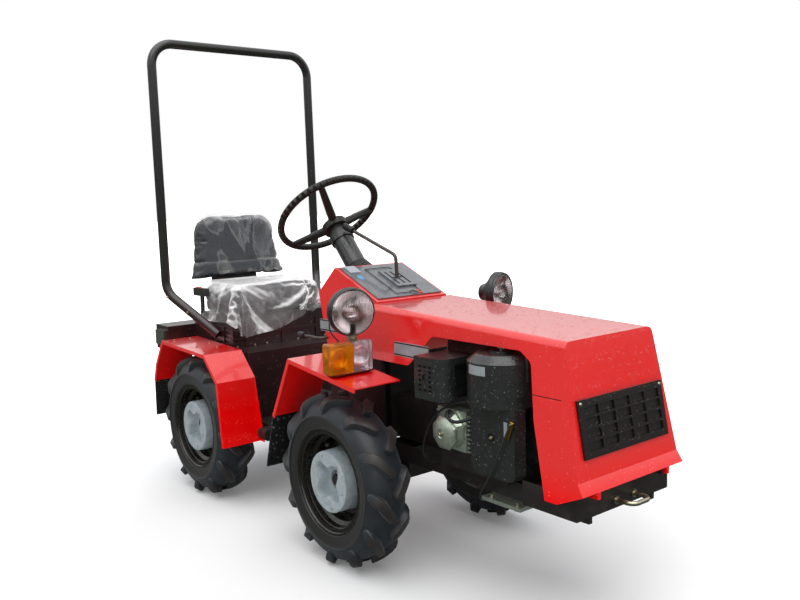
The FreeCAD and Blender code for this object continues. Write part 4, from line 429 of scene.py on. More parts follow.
def one_tyre(name):
    """A whole tyre round its own axle, at its place in the frame."""
    low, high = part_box(name)
    profile = carcass_half[::-1] + [(-w, r) for w, r in carcass_half[1:]]
    carcass = spun("carcass", profile, 112, tyre_rubber)
    flanks = carcass.data.attributes.new("tip", "FLOAT", "POINT")
    for vertex in carcass.data.vertices:
        radius = math.hypot(vertex.co.x, vertex.co.z)
        flanks.data[vertex.index].value = -1.0 if radius < flank_radius else 0.0
    items = [carcass]
    for side, lead in ((-1, 0.0), (1, lug_spacing / 2)):
        items.append(repeated("lugs", one_lug(side, lead), tyre_lugs, turn=(0, lug_spacing, 0)))
    return moved(joined(name.replace("tyre", "rubber"), items), (low + high) / 2)


for end in ("front", "rear"):
    for hand in ("right", "left"):
        tyre = one_tyre(f"tyre_{end}_{hand}")
        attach(tyre, f"wheel_{end}_{hand}")
        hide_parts(f"tyre_{end}_{hand}")


# ---------------------------------------------------------------- rims and hubs
# Rolled steel rims in black enamel, each with a dished disc held by zinc-plated bolts on
# four lugs. The hub is a sand-cast drum with a four-lobed hollow, painted pale grey.
# across the rim from its inner edge to its outer one: distance outwards, and radius
rim_profile = [
    (-0.068, 0.1870), (-0.0660, 0.1885), (-0.0625, 0.1870), (-0.0620, 0.1660), (-0.030, 0.1640),
    (-0.024, 0.1500), (0.020, 0.1500), (0.028, 0.1640), (0.0620, 0.1660), (0.0625, 0.1870),
    (0.0655, 0.1888), (0.0680, 0.1872), (0.0672, 0.1800), (0.0630, 0.1775), (0.0615, 0.1750),
    (0.0560, 0.1738), (0.0480, 0.1632), (0.0300, 0.1600), (0.0220, 0.1465), (-0.026, 0.1465),
    (-0.034, 0.1600), (-0.0620, 0.1615), (-0.0650, 0.1800),
]
# the disc that carries the drum: from the rim's well in to the drum, and back behind it
disc_profile = [
    (-0.0240, 0.1480), (-0.0210, 0.1480), (-0.0190, 0.1360), (-0.0130, 0.1280), (-0.0130, 0.1100),
    (-0.0190, 0.1100), (-0.0190, 0.1260), (-0.0250, 0.1340),
]
# the drum's outside, from the disc to where its face begins
drum_profile = [
    (-0.0700, 0.0230), (-0.0700, 0.0600), (-0.0200, 0.0600), (-0.0120, 0.0750), (-0.0120, 0.1110),
    (0.0080, 0.1085), (0.0620, 0.1080), (0.0665, 0.1068), (0.0690, 0.1036), (0.0698, 0.0992),
]


def clouded(tree, shader, place, size, detail, dark, light):
    """Colour a surface in soft patches of two tones, and give that colour back."""
    noise = add(tree, "ShaderNodeTexNoise", {"Vector": place, "Scale": 1 / size, "Detail": detail})
    return toned(tree, shader, noise.outputs[0], dark, light)


# black enamel baked on steel: a deeper shine than the frame's, with a thin dusty bloom
rim_enamel, tree, shader, place = new_material("rim_enamel", "#17130F", 0.28)
rings = add(tree, "ShaderNodeTexNoise", {"Vector": place, "Scale": 1 / 0.02, "Detail": 5.0})
dusty = add(tree, "ShaderNodeMapRange", {0: rings.outputs[0], 1: 0.45, 2: 0.75, 3: 0.22, 4: 0.5})
tree.links.new(dusty.outputs[0], shader.inputs["Roughness"])
shader.inputs["Coat Weight"].default_value = 0.4
shader.inputs["Coat Roughness"].default_value = 0.18

# sand-cast iron under thin grey paint: pitted, dull, with darker stains in the hollows
cast_grey, tree, shader, place = new_material("cast_grey", "#9AA6AB", 0.55)
stain = add(tree, "ShaderNodeTexNoise", {"Vector": place, "Scale": 1 / 0.022, "Detail": 8.0,
                                         "Roughness": 0.6})
soot = add(tree, "ShaderNodeMapRange", {0: stain.outputs[0], 1: 0.42, 2: 0.78, 3: 0.0, 4: 1.0})
toned(tree, shader, soot.outputs[0], "#A3AEB2", "#86918F")
rough_skin(tree, shader, place, size=0.0045, detail=5.0, strength=0.4, depth=0.001)

# yellow-passivated zinc plate on steel: pale gold-grey metal with a soft broken shine
zinc_plate, tree, shader, place = new_material("zinc_plate", "#B9B193", 0.32, metallic=1.0)
clouded(tree, shader, place, size=0.007, detail=3.0, dark="#8E8A78", light="#D8D2B8")
dress(zinc_plate, "tow_loop")


drum_front = 0.0698
lobe_count, lobe_radius, lobe_swing, lobe_slope, lobe_depth = 4, 0.068, 0.016, 0.011, 0.040
bore_radius, bore_slope, bore_depth = 0.0345, 0.003, 0.020


def drum_face(steps=96):
    """The drum's face, hollowed in four lobes round a deep bore, up to its rounded edge."""
    radii = [0.0992, 0.0935, 0.0885, 0.0845, 0.0815, 0.079, 0.076, 0.073, 0.070, 0.067, 0.064,
             0.061, 0.058, 0.055, 0.052, 0.049, 0.046, 0.043, 0.040, 0.036, 0.0335, 0.0325,
             0.0315, 0.020]
    points, faces = [], []
    for radius in radii:
        for step in range(steps):
            angle = 2 * math.pi * step / steps
            edge = lobe_radius + lobe_swing * math.cos(lobe_count * (angle - math.pi / 4))
            share = min(max((edge - radius) / lobe_slope, 0.0), 1.0)
            depth = lobe_depth * share * share * (3 - 2 * share)
            depth += bore_depth * min(max((bore_radius - radius) / bore_slope, 0.0), 1.0)
            points.append((radius * math.cos(angle), drum_front - depth,
                           radius * math.sin(angle)))
    for row in range(len(radii) - 1):
        for step in range(steps):
            after = (step + 1) % steps
            faces.append((row * steps + step, row * steps + after,
                          (row + 1) * steps + after, (row + 1) * steps + step))
    centre = len(points)
    points.append((0.0, 0.0095, 0.0))
    last = (len(radii) - 1) * steps
    faces += [(last + step, last + (step + 1) % steps, centre) for step in range(steps)]
    return points, faces


def hex_bolt(across, height, thread, stuff):
    """A bolt head with a washer under it, standing on its own base along Y."""
    rows = [(0.0, across * 0.95, 24), (thread, across * 0.95, 24), (thread, across * 0.58, 6),
            (thread + height * 0.85, across * 0.58, 6), (thread + height, across * 0.48, 6)]
    points, faces = [], []
    for lower, upper in zip(rows, rows[1:]):
        if lower[2] != upper[2]:
            continue
        start, count = len(points), lower[2]
        for along, radius, _ in (lower, upper):
            points += [(radius * math.cos(2 * math.pi * k / count), along,
                        radius * math.sin(2 * math.pi * k / count)) for k in range(count)]
        faces += [(start + k, start + (k + 1) % count, start + count + (k + 1) % count,
                   start + count + k) for k in range(count)]
        faces.append(tuple(start + count + k for k in range(count)))
    item = mesh_object("bolt", points, faces)
    item.data.materials.append(stuff)
    return closed_up(item, 35.0)


def one_wheel(name, side):
    """Rim, disc, drum and bolts about the wheel's own axle, at its place in the frame."""
    points, faces = drum_face()
    face = mesh_object("face", points, faces)
    face.data.materials.append(cast_grey)
    items = [spun("rim", rim_profile, 96, rim_enamel, closed=True),
             spun("disc", disc_profile, 72, rim_enamel, closed=True),
             spun("drum", drum_profile, 72, cast_grey), closed_up(face, 60.0)]
    lug = mesh_object("disc_lug", [
        (0.128, -0.019, -0.024), (0.1505, -0.019, -0.020), (0.1505, -0.019, 0.020),
        (0.128, -0.019, 0.024), (0.128, -0.001, -0.018), (0.1455, -0.003, -0.014),
        (0.1455, -0.003, 0.014), (0.128, -0.001, 0.018)],
        [(0, 1, 2, 3), (7, 6, 5, 4), (0, 4, 5, 1), (1, 5, 6, 2), (2, 6, 7, 3), (3, 7, 4, 0)])
    lug.data.materials.append(rim_enamel)
    bolt = moved(hex_bolt(0.0085, 0.007, 0.002, zinc_plate), Vector((0.137, -0.0015, 0)))
    small = moved(hex_bolt(0.0035, 0.0015, 0.0006, zinc_plate), Vector((0.0915, 0.0696, 0)))
    quarter = (0, math.pi / 2, 0)
    for piece, count, turn in ((closed_up(lug), 4, quarter), (bolt, 4, quarter),
                               (small, 6, (0, math.pi / 3, 0))):
        copies = repeated("round_the_drum", piece, count, turn=turn)
        items.append(moved(copies, Vector(), Matrix.Rotation(math.pi / 4, 3, "Y")))
    whole = joined(name.replace("wheel", "rim"), items)
    if side < 0:
        whole.data.transform(Matrix.Rotation(math.pi, 4, "Z"))
    low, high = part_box(name.replace("wheel", "tyre"))
    return moved(whole, (low + high) / 2)


for end in ("front", "rear"):
    for hand, side in (("right", -1), ("left", 1)):
        wheel = one_wheel(f"wheel_{end}_{hand}", side)
        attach(wheel, f"wheel_{end}_{hand}")
        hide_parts(f"wheel_{end}_{hand}")


# ---------------------------------------------------------------- red sheet metal
# Hood, console and fenders with their flanges: pressed and folded 3 mm sheet steel under
# baked red enamel, beaded with rain. The engine's black covers and its castings follow.
def eased(width, *names):
    """Round a carried-over piece's edges a little, as paint and folding do."""
    for name in names:
        edges = nodes[name].modifiers.new("edges", "BEVEL")
        edges.width = width
        edges.segments = 2
        edges.limit_method = "ANGLE"
        edges.angle_limit = math.radians(35)
        edges.harden_normals = True


# saturated red under a clear wet film: mirror-like up high, dulled by dirt low down, with
# a painted glint of sky as a pale speck on each drop
red_enamel, tree, shader, place = new_material("red_enamel", "#EE0A0A", 0.3)
colour = clouded(tree, shader, place, size=0.18, detail=4.0, dark="#EE0103", light="#FA0A08")
speckled(tree, shader, place, colour, cell=0.0075, share=0.25, pale="#FF4A42")
axes = add(tree, "ShaderNodeSeparateXYZ", {0: place})
dull_low = add(tree, "ShaderNodeMapRange", {0: axes.outputs[2], 1: 0.42, 2: 0.52, 3: 0.12, 4: 1.0})
tree.links.new(dull_low.outputs[0], shader.inputs["Coat Weight"])
tree.links.new(dull_low.outputs[0], shader.inputs["Specular IOR Level"])
shader.inputs["Coat Roughness"].default_value = 0.07
big, _ = wet_drops(tree, place, cell=0.013, share=0.5)
small, _ = wet_drops(tree, place, cell=0.0055, share=0.6)
both = add(tree, "ShaderNodeMath", {0: big, 1: small}, operation="MAXIMUM")
drops = add(tree, "ShaderNodeBump", {"Strength": 1.0, "Distance": 0.0022,
                                     "Height": both.outputs[0]})
tree.links.new(drops.outputs[0], shader.inputs["Coat Normal"])
rough_skin(tree, shader, place, size=0.009, detail=1.0, strength=0.12, depth=0.0006)

dress(red_enamel, "hood", "console", "front_fenders", "rear_fenders")
eased(0.0022, "hood", "console", "front_fenders", "rear_fenders")


def beaded(tree, shader, place, cell, share, depth, sockets=("Coat Normal",), strength=1.0):
    """Rain drops that stand out of a surface, or of the clear coat over it."""
    drop, _ = wet_drops(tree, place, cell, share)
    beads = add(tree, "ShaderNodeBump", {"Strength": strength, "Distance": depth,
                                         "Height": drop})
    for socket in sockets:
        tree.links.new(beads.outputs[0], shader.inputs[socket])


# satin black under rain: the darker, wetter black of the nose and of the engine's covers
wet_black, tree, shader, place = new_material("wet_black", "#1B1D1D", 0.38)
colour = clouded(tree, shader, place, size=0.03, detail=5.0, dark="#141616", light="#2A2D2B")
# pale dots: painted glints of sky on the drops
speckled(tree, shader, place, colour, cell=0.007, share=0.25, pale="#5E6462")
shader.inputs["Coat Weight"].default_value = 0.5
shader.inputs["Coat Roughness"].default_value = 0.2
beaded(tree, shader, place, cell=0.008, share=0.65, depth=0.0025,
       sockets=("Coat Normal", "Normal"))
dress(wet_black, "muffler", "air_cleaner", "intake_cover", "fuel_tank", "fan_housing",
      "steering_column")
eased(0.002, "muffler", "air_cleaner", "intake_cover", "steering_column", "front_bumper")

# cast aluminium, dull and oily, with a green-grey cast from old fuel
cast_alloy, tree, shader, place = new_material("cast_alloy", "#A4B0A0", 0.34, metallic=0.8)
clouded(tree, shader, place, size=0.012, detail=7.0, dark="#8B9887", light="#DCE5D5")
rough_skin(tree, shader, place, size=0.002, detail=4.0, strength=0.4, depth=0.0007)
dress(cast_alloy, "cylinder_head", "engine_mount")
dress(black_enamel, "engine_block")
eased(0.002, "cylinder_head")


# ---------------------------------------------------------------- headlamps
# Round work lamps on stems: a pressed steel shell in a rubber ring, a polished reflector
# with a hooded bulb, and a moulded glass with upright flutes. The ring clamps the glass.
lamp_low, lamp_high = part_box("headlamps")
lamp_radius = 0.082
lamp_centre_z = lamp_high.z - lamp_radius
lamp_turn = math.radians(15)
lamp_y = 0.350
# the stem stands on the fender's flange, a little behind the front of the ring
axle_back, lamp_ahead, ring_to_stem = 0.07, 0.102, 0.026
stem_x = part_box("front_axle")[0].x + axle_back + lamp_ahead - ring_to_stem
# distance ahead of the ring's front, and radius
lamp_shell = [
    (-0.0950, 0.0000), (-0.0950, 0.0300), (-0.0710, 0.0380), (-0.0520, 0.0570), (-0.0410, 0.0690),
    (-0.0345, 0.0790), (-0.0315, 0.0820), (-0.0150, 0.0820), (-0.0112, 0.0808), (-0.0095, 0.0785),
    (-0.0020, 0.0782), (0.0000, 0.0770), (-0.0008, 0.0752), (-0.0040, 0.0746), (-0.0090, 0.0742),
]
lamp_glass = [
    (-0.0085, 0.0748), (-0.0040, 0.0746), (-0.0005, 0.0700), (0.0022, 0.0600), (0.0050, 0.0400),
    (0.0064, 0.0200), (0.0070, 0.0000), (0.0038, 0.0000), (0.0032, 0.0200), (0.0018, 0.0400),
    (-0.0010, 0.0600), (-0.0038, 0.0690), (-0.0085, 0.0700),
]
lamp_bowl = [(-0.0090, 0.0744)] + [
    (-0.0720 + 0.0610 * (radius / 0.0740) ** 2, radius) for radius in
    (0.0725, 0.066, 0.059, 0.052, 0.045, 0.038, 0.031, 0.024, 0.017)] + [(-0.0690, 0.0140)]
lamp_hood = [(-0.0690, 0.0142), (-0.0640, 0.0085), (-0.0520, 0.0065), (-0.0480, 0.0050),
             (-0.0470, 0.0000)]

# rubber over steel: nearly black, dull, with beads of rain on it
lamp_black, tree, shader, place = new_material("lamp_black", "#161818", 0.45)
shader.inputs["Coat Weight"].default_value = 0.5
shader.inputs["Coat Roughness"].default_value = 0.15
beaded(tree, shader, place, cell=0.006, share=0.5, depth=0.002)

# vacuum-coated aluminium: a bright mirror, broken by small waves in the pressing
mirror, tree, shader, place = new_material("mirror", "#F4F2F1", 0.16, metallic=1.0)
rough_skin(tree, shader, place, size=0.03, detail=1.0, strength=0.12, depth=0.003)


def ribbed(tree, along, pitch):
    """Even ribs along a measure, as a height from -1 to 1."""
    phase = add(tree, "ShaderNodeMath", {0: along, 1: 2 * math.pi / pitch}, operation="MULTIPLY")
    return add(tree, "ShaderNodeMath", {0: phase.outputs[0]}, operation="SINE").outputs[0]


# pressed glass: upright flutes draw the reflector out into stripes, with a warm pink cast
fluted_glass, tree, shader, place = new_material("fluted_glass", "#FBF4F6", 0.03)
shader.inputs["Transmission Weight"].default_value = 1.0
shader.inputs["IOR"].default_value = 1.5
axes = add(tree, "ShaderNodeSeparateXYZ", {0: place})
bump = add(tree, "ShaderNodeBump", {"Strength": 0.5, "Distance": 0.0006,
                                    "Height": ribbed(tree, axes.outputs[1], 0.0052)})
tree.links.new(bump.outputs[0], shader.inputs["Normal"])


def one_headlamp(side):
    """Shell, reflector, bulb hood, glass and stem of one lamp, turned and put in place."""
    items = [spun("shell", lamp_shell, 64, lamp_black), spun("bowl", lamp_bowl, 64, mirror),
             spun("hood", lamp_hood, 32, mirror), spun("glass", lamp_glass, 64, fluted_glass)]
    nut = moved(hex_bolt(0.009, 0.008, 0.002, zinc_plate), Vector((0, 0.020, 0)))
    clamp = spun("clamp", [(-0.012, 0), (-0.012, 0.014), (0.020, 0.014), (0.020, 0)], 24,
                 zinc_plate)
    items.append(moved(joined("fitting", [nut, clamp]),
                       Vector((0, -ring_to_stem, -lamp_radius - 0.006))))
    aim = Matrix.Rotation(lamp_turn * side - math.pi / 2, 3, "Z")
    whole = moved(joined("lamp", items), Vector(), aim)
    reach = Vector((math.cos(lamp_turn), math.sin(lamp_turn) * side, 0)) * ring_to_stem
    moved(whole, Vector((stem_x, lamp_y * side, lamp_centre_z)) + reach)
    stem = spun("stem", [(0, 0), (0, 0.009), (0.060, 0.009), (0.060, 0)], 24, black_enamel)
    moved(stem, Vector((stem_x, lamp_y * side, lamp_low.z)), Matrix.Rotation(math.pi / 2, 3, "X"))
    return joined("headlamp", [whole, stem])


headlamp_pair = joined("headlamp_pair", [one_headlamp(-1), one_headlamp(1)])
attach(headlamp_pair, "front_half")
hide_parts("headlamps")


# ---------------------------------------------------------------- indicators
# Two-colour lamps on a folded bracket: amber polycarbonate outboard and clear inboard,
# over a bright tray with a round dish and a bulb for each, screwed down from the front.
def lens_plastic(name, colour, inside):
    """Moulded clear plastic: see-through, dyed, wet outside and finely ribbed inside."""
    stuff, tree, shader, place = new_material(name, colour, 0.08)
    shader.inputs["Transmission Weight"].default_value = inside
    shader.inputs["IOR"].default_value = 1.45
    axes = add(tree, "ShaderNodeSeparateXYZ", {0: place})
    bump = add(tree, "ShaderNodeBump", {"Strength": 0.35, "Distance": 0.0006,
                                        "Height": ribbed(tree, axes.outputs[2], 0.0045)})
    tree.links.new(bump.outputs[0], shader.inputs["Normal"])
    return stuff


amber_plastic = lens_plastic("amber_plastic", "#FF9A08", 0.75)
clear_plastic = lens_plastic("clear_plastic", "#F1ECF4", 0.85)

# bracket plate: dark red enamel on folded steel, dulled by dirt
dark_red, tree, shader, place = new_material("dark_red", "#5E1214", 0.4)
clouded(tree, shader, place, size=0.02, detail=5.0, dark="#7A1618", light="#3A1212")


def box_mesh(name, low, high, stuff):
    """Six faces between two corners, of one material."""
    points = [(x, y, z) for x in (low[0], high[0]) for y in (low[1], high[1])
              for z in (low[2], high[2])]
    item = mesh_object(name, points, [(0, 1, 3, 2), (4, 6, 7, 5), (0, 4, 5, 1), (2, 3, 7, 6),
                                      (0, 2, 6, 4), (1, 5, 7, 3)])
    item.data.materials.append(stuff)
    return item


def soft_box(name, low, high, ease, stuff):
    """A closed box with its edges rounded."""
    item = box_mesh(name, low, high, stuff)
    edges = item.modifiers.new("edges", "BEVEL")
    edges.width = ease
    edges.segments = 4
    return closed_up(applied(item), 50.0)


indicator_low, indicator_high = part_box("indicators")
indicator_inner_y, amber_share = 0.282, 0.56


def one_indicator(side):
    """Tray, two dishes with bulbs, two lenses and the bracket of one indicator."""
    outer, inner = indicator_high.y, indicator_inner_y
    middle = outer - amber_share * (outer - inner)
    back, front = indicator_low.x + 0.012, indicator_high.x
    low_z, high_z = indicator_low.z + 0.004, indicator_high.z
    pairs = ((middle, outer, amber_plastic), (inner, middle, clear_plastic))
    items = [soft_box("tray", (back - 0.003, inner + 0.004, low_z + 0.005),
                      (back + 0.001, outer - 0.005, high_z - 0.005), 0.001, mirror),
             soft_box("bracket", (back - 0.012, inner - 0.004, low_z - 0.004),
                      (back - 0.008, outer - 0.03, high_z - 0.004), 0.001, dark_red),
             soft_box("foot", (back - 0.012, inner - 0.004, low_z - 0.004),
                      (front - 0.004, outer - 0.02, low_z), 0.001, dark_red)]
    for start, end, stuff in pairs:
        items.append(soft_box("lens", (back - 0.005, start + 0.0008, low_z),
                              (front, end - 0.0008, high_z), 0.009, stuff))
        bowl = spun("dish", [(0.0, 0.008), (0.006, 0.018), (0.016, 0.026), (0.018, 0.030),
                             (0.017, 0.034)], 40, mirror)
        bulb = spun("bulb", [(0.0, 0.008), (0.012, 0.008), (0.019, 0.005), (0.021, 0.0)], 24,
                    stuff)
        place = Vector((back + 0.004, (start + end) / 2, (low_z + high_z) / 2))
        items.append(moved(joined("dish", [bowl, bulb]), place,
                           Matrix.Rotation(-math.pi / 2, 3, "Z")))
    whole = joined("indicator", items)
    if side < 0:
        whole.data.transform(Matrix.Diagonal((1, -1, 1, 1)))
        whole.data.flip_normals()
    return whole


indicator_pair = joined("indicator_pair", [one_indicator(-1), one_indicator(1)])
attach(indicator_pair, "front_half")
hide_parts("indicators")


# ---------------------------------------------------------------- hood and grille trim
# A pressed grille with fine wire behind its bars, held by two screws at its top, blank
# name plates of printed aluminium foil on the right side, and a slit on each side of the
# hood.
def met(name, start, toward):
    """Where a line from a point first meets a carried-over piece, and how it faces there."""
    item = nodes[name]
    inward = item.matrix_world.inverted()
    found, spot, normal, _ = item.ray_cast(
        inward @ Vector(start), (inward.to_3x3() @ Vector(toward)).normalized())
    if not found:
        raise ValueError(f"nothing of {name} lies that way")
    return item.matrix_world @ spot, (item.matrix_world.to_3x3() @ normal).normalized()


def laid(item, spot, normal, along=(1, 0, 0)):
    """Lay a piece on a face, its Y outwards and its X along a line on the face."""
    first = Vector(along)
    first = (first - normal * first.dot(normal)).normalized()
    return moved(item, spot, Matrix((first, normal, first.cross(normal))).transposed())


def plain_box(name, low, high, stuff):
    """A closed box with sharp edges, for trim too thin to ease."""
    return closed_up(box_mesh(name, low, high, stuff))


bpy.context.view_layer.update()

# black enamel on pressed steel, its backing woven of fine wire: small squares, with painted
# shade dark in the holes between the wires
grille_black, tree, shader, place = new_material("grille_black", "#17110F", 0.42)
axes = add(tree, "ShaderNodeSeparateXYZ", {0: place})
weave = [ribbed(tree, axes.outputs[axis], 0.006) for axis in (1, 2)]
wires = add(tree, "ShaderNodeMath", {0: weave[0], 1: weave[1]}, operation="MAXIMUM")
bright = add(tree, "ShaderNodeMapRange", {0: wires.outputs[0], 1: 0.2, 2: 0.9, 3: 0.0, 4: 1.0})
colour = toned(tree, shader, bright.outputs[0], "#0C0909", "#1F1715")
# pale dots: painted glints of sky on the drops
speckled(tree, shader, place, colour, cell=0.006, share=0.25, pale="#5A5350")
bump = add(tree, "ShaderNodeBump", {"Strength": 0.3, "Distance": 0.0004,
                                    "Height": wires.outputs[0]})
tree.links.new(bump.outputs[0], shader.inputs["Normal"])
dress(grille_black, "grille")
eased(0.001, "grille")

# printed aluminium foil: flat silver-grey, faintly clouded, with lines in black ink
foil, tree, shader, place = new_material("foil", "#A7AFB3", 0.3, metallic=0.4)
clouded(tree, shader, place, size=0.03, detail=3.0, dark="#98A2A6", light="#B9C1C4")
printed_black, tree, shader, place = new_material("printed_black", "#0E0F10", 0.4)
specks = add(tree, "ShaderNodeTexNoise", {"Vector": place, "Scale": 1 / 0.004, "Detail": 2.0})
shine = add(tree, "ShaderNodeMapRange", {0: specks.outputs[0], 1: 0.3, 2: 0.7, 3: 0.3, 4: 0.5})
tree.links.new(shine.outputs[0], shader.inputs["Roughness"])


def name_plate(name, node, x, z, width, height):
    """A blank plate with a dark line along its top and bottom, stuck to a right-hand side."""
    spot, normal = met(node, (x, -1.0, z), (0, 1, 0))
    half, tall = width / 2, height / 2
    items = [plain_box("foil", (-half, 0, -tall), (half, 0.0008, tall), foil)]
    for edge in (-1, 1):
        middle = edge * (tall - 0.0045)
        items.append(plain_box("line", (-half, 0.0006, middle - 0.0022),
                               (half, 0.0011, middle + 0.0022), printed_black))
    plate = laid(joined(name, items), spot, normal)
    return plate


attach(name_plate("hood_plate", "hood", x=0.478, z=0.762, width=0.178, height=0.048), "hood")
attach(name_plate("console_plate", "console", x=-0.072, z=0.789, width=0.11, height=0.046),
        "front_half")

slit_z, slit_from, slit_to = 0.703, 1.022, 1.128
slit_parts = []
for hand in (-1, 1):
    ends = [met("hood", (x, hand, slit_z), (0, -hand, 0)) for x in (slit_from, slit_to)]
    middle, run = (ends[0][0] + ends[1][0]) / 2, ends[1][0] - ends[0][0]
    strip = plain_box("slit", (-run.length / 2, -0.0005, -0.0011),
                      (run.length / 2, 0.0004, 0.0011), printed_black)
    slit_parts.append(laid(strip, middle, ends[0][1], run))
slits = joined("hood_slits", slit_parts)
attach(slits, "hood")

grille_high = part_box("grille")[1]
screw_inset = 0.011
screws = []
for hand in (-1, 1):
    spot, normal = met("grille", (1.6, hand * (grille_high.y - screw_inset),
                                  grille_high.z - screw_inset), (-1, 0, 0))
    head = spun("screw", [(-0.002, 0), (-0.002, 0.0062), (0.001, 0.0062), (0.003, 0.0048),
                          (0.0042, 0.002), (0.0045, 0)], 20, zinc_plate)
    screws.append(laid(head, spot, normal, (0, 1, 0)))
grille_screws = joined("grille_screws", screws)
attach(grille_screws, "hood")


# ---------------------------------------------------------------- engine fittings
# A rocker cover, bolts, a wing nut, a choke lever with its rod, a breather elbow and blank
# foil labels, of plated steel, moulded rubber and aluminium, screwed or stuck on.
def round_line(name, points, radius, around, along):
    """A curve that passes smoothly by some points, as thick as a bar or cord."""
    line = bpy.data.curves.new(name, "CURVE")
    line.dimensions = "3D"
    line.bevel_depth = radius
    line.bevel_resolution = around
    line.use_fill_caps = True
    run = line.splines.new("NURBS")
    run.points.add(len(points) - 1)
    for point, spot in zip(run.points, points):
        point.co = (*spot, 1)
    run.order_u = 3
    run.use_endpoint_u = True
    run.resolution_u = along
    return line


def bent(name, points, radius, stuff):
    """A round bar along a bent line, with its ends closed."""
    holder = bpy.data.objects.new(name, round_line(name, points, radius, around=3, along=8))
    scene.collection.objects.link(holder)
    bpy.context.view_layer.update()
    item = mesh_object(name, [], [])
    item.data = bpy.data.meshes.new_from_object(
        holder.evaluated_get(bpy.context.evaluated_depsgraph_get()))
    bpy.data.objects.remove(holder)
    item.data.materials.clear()
    item.data.materials.append(stuff)
    return closed_up(item, 50.0)


def bolted(name, body, places, across=0.0065, height=0.005):
    """Zinc-plated bolts, one where each line given meets its piece, as one object."""
    heads = []
    for node, start, toward in places:
        spot, normal = met(node, start, toward)
        along = (0, 1, 0) if abs(normal.x) > 0.9 else (1, 0, 0)
        heads.append(laid(hex_bolt(across, height, 0.0014, zinc_plate), spot, normal, along))
    whole = joined(name, heads)
    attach(whole, body)
    return whole


# brass-yellow chromate on thin steel, brighter than the bolts'
gold_plate, tree, shader, place = new_material("gold_plate", "#C79A35", 0.3, metallic=1.0)
clouded(tree, shader, place, size=0.01, detail=3.0, dark="#A87A22", light="#E0B85A")
# moulded rubber: dull black with a grey bloom
moulded_rubber, tree, shader, place = new_material("moulded_rubber", "#141516", 0.5)
clouded(tree, shader, place, size=0.02, detail=4.0, dark="#0F1011", light="#2B2D2F")
# drawn steel wire: pale grey, unevenly shiny
bare_steel, tree, shader, place = new_material("bare_steel", "#8D8F8E", 0.34, metallic=1.0)
scratch = add(tree, "ShaderNodeTexNoise", {"Vector": place, "Scale": 1 / 0.003, "Detail": 2.0})
shine = add(tree, "ShaderNodeMapRange", {0: scratch.outputs[0], 1: 0.3, 2: 0.7, 3: 0.25, 4: 0.45})
tree.links.new(shine.outputs[0], shader.inputs["Roughness"])

cleaner_low, cleaner_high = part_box("air_cleaner")
cleaner_x = (cleaner_low.x + cleaner_high.x) / 2
cleaner_y = (cleaner_low.y + cleaner_high.y) / 2
cleaner_r = (cleaner_high.x - cleaner_low.x) / 2 - 0.004
cleaner_cap_z = cleaner_high.z - 0.017

label_from, label_round, label_steps = -112, 39, 12
label_points, label_faces = [], []
for layer in (0.0004, 0.0012):
    for step in range(label_steps + 1):
        angle = math.radians(label_from + label_round * step / label_steps)
        for height in (cleaner_high.z - 0.078, cleaner_high.z - 0.050):
            label_points.append((cleaner_x + (cleaner_r + layer) * math.cos(angle),
                                 cleaner_y + (cleaner_r + layer) * math.sin(angle), height))
for step in range(label_steps):
    for layer in (0, 26):
        here = layer + step * 2
        label_faces.append((here, here + 1, here + 3, here + 2))
    for row in (0, 1):
        label_faces.append((step * 2 + row, step * 2 + 2 + row, step * 2 + 28 + row,
                            step * 2 + 26 + row))
label_faces += [(0, 1, 27, 26), (24, 25, 51, 50)]
label = mesh_object("cleaner_label", label_points, label_faces)
label.data.materials.append(foil)
closed_up(label)

upright = Matrix.Rotation(math.pi / 2, 3, "X")
stud = spun("stud", [(0, 0), (0, 0.0052), (0.019, 0.0052), (0.020, 0.003), (0.020, 0)], 16,
            bare_steel)
wings = soft_box("wings", (-0.014, -0.0022, 0.003), (0.014, 0.0022, 0.011), 0.0018, bare_steel)
stud_top = joined("wing_nut", [moved(stud, Vector(), upright), wings])
moved(stud_top, Vector((cleaner_x, cleaner_y, cleaner_cap_z)))
pad_turn = math.radians(4)
clip = soft_box("clip", (-0.004, -0.015, -0.037), (0.006, 0.015, 0.037), 0.005, wet_black)
moved(clip, Vector((cleaner_x + cleaner_r * math.cos(pad_turn),
                    cleaner_y + cleaner_r * math.sin(pad_turn), cleaner_high.z - 0.062)),
      Matrix.Rotation(pad_turn, 3, "Z"))

intake_low, intake_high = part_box("intake_cover")
cup = spun("cup", [(0, 0), (0, 0.0125), (0.003, 0.0125), (0.003, 0.0095), (0.0012, 0.009)], 28,
           printed_black)
cup_spot, cup_normal = met("intake_cover", (intake_low.x + 0.087, -1.0, intake_low.z + 0.122),
                           (0, 1, 0))
laid(cup, cup_spot, cup_normal)
choke_label = plain_box("choke_label", (intake_high.x - 0.042, intake_low.y - 0.0008,
                                        intake_low.z + 0.135),
                        (intake_high.x - 0.028, intake_low.y + 0.0004, intake_low.z + 0.180),
                        foil)
lever_top = Vector((intake_high.x - 0.004, intake_low.y - 0.006, intake_low.z + 0.186))
lever_foot = Vector((intake_high.x - 0.024, intake_low.y - 0.006, intake_low.z + 0.132))
lever_plate = soft_box("lever", (-0.007, -0.0014, -0.030), (0.007, 0.0014, 0.030), 0.0012,
                       gold_plate)
lean_over = (lever_top - lever_foot).normalized()
moved(lever_plate, (lever_top + lever_foot) / 2,
      Vector((0, 0, 1)).rotation_difference(lean_over).to_matrix())
pivot_pin = spun("pivot", [(-0.008, 0), (-0.008, 0.004), (0.006, 0.004), (0.006, 0)], 16,
                 zinc_plate)
moved(pivot_pin, lever_top - lean_over * 0.006, Matrix.Rotation(math.pi, 3, "Z"))
mount_low, mount_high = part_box("engine_mount")
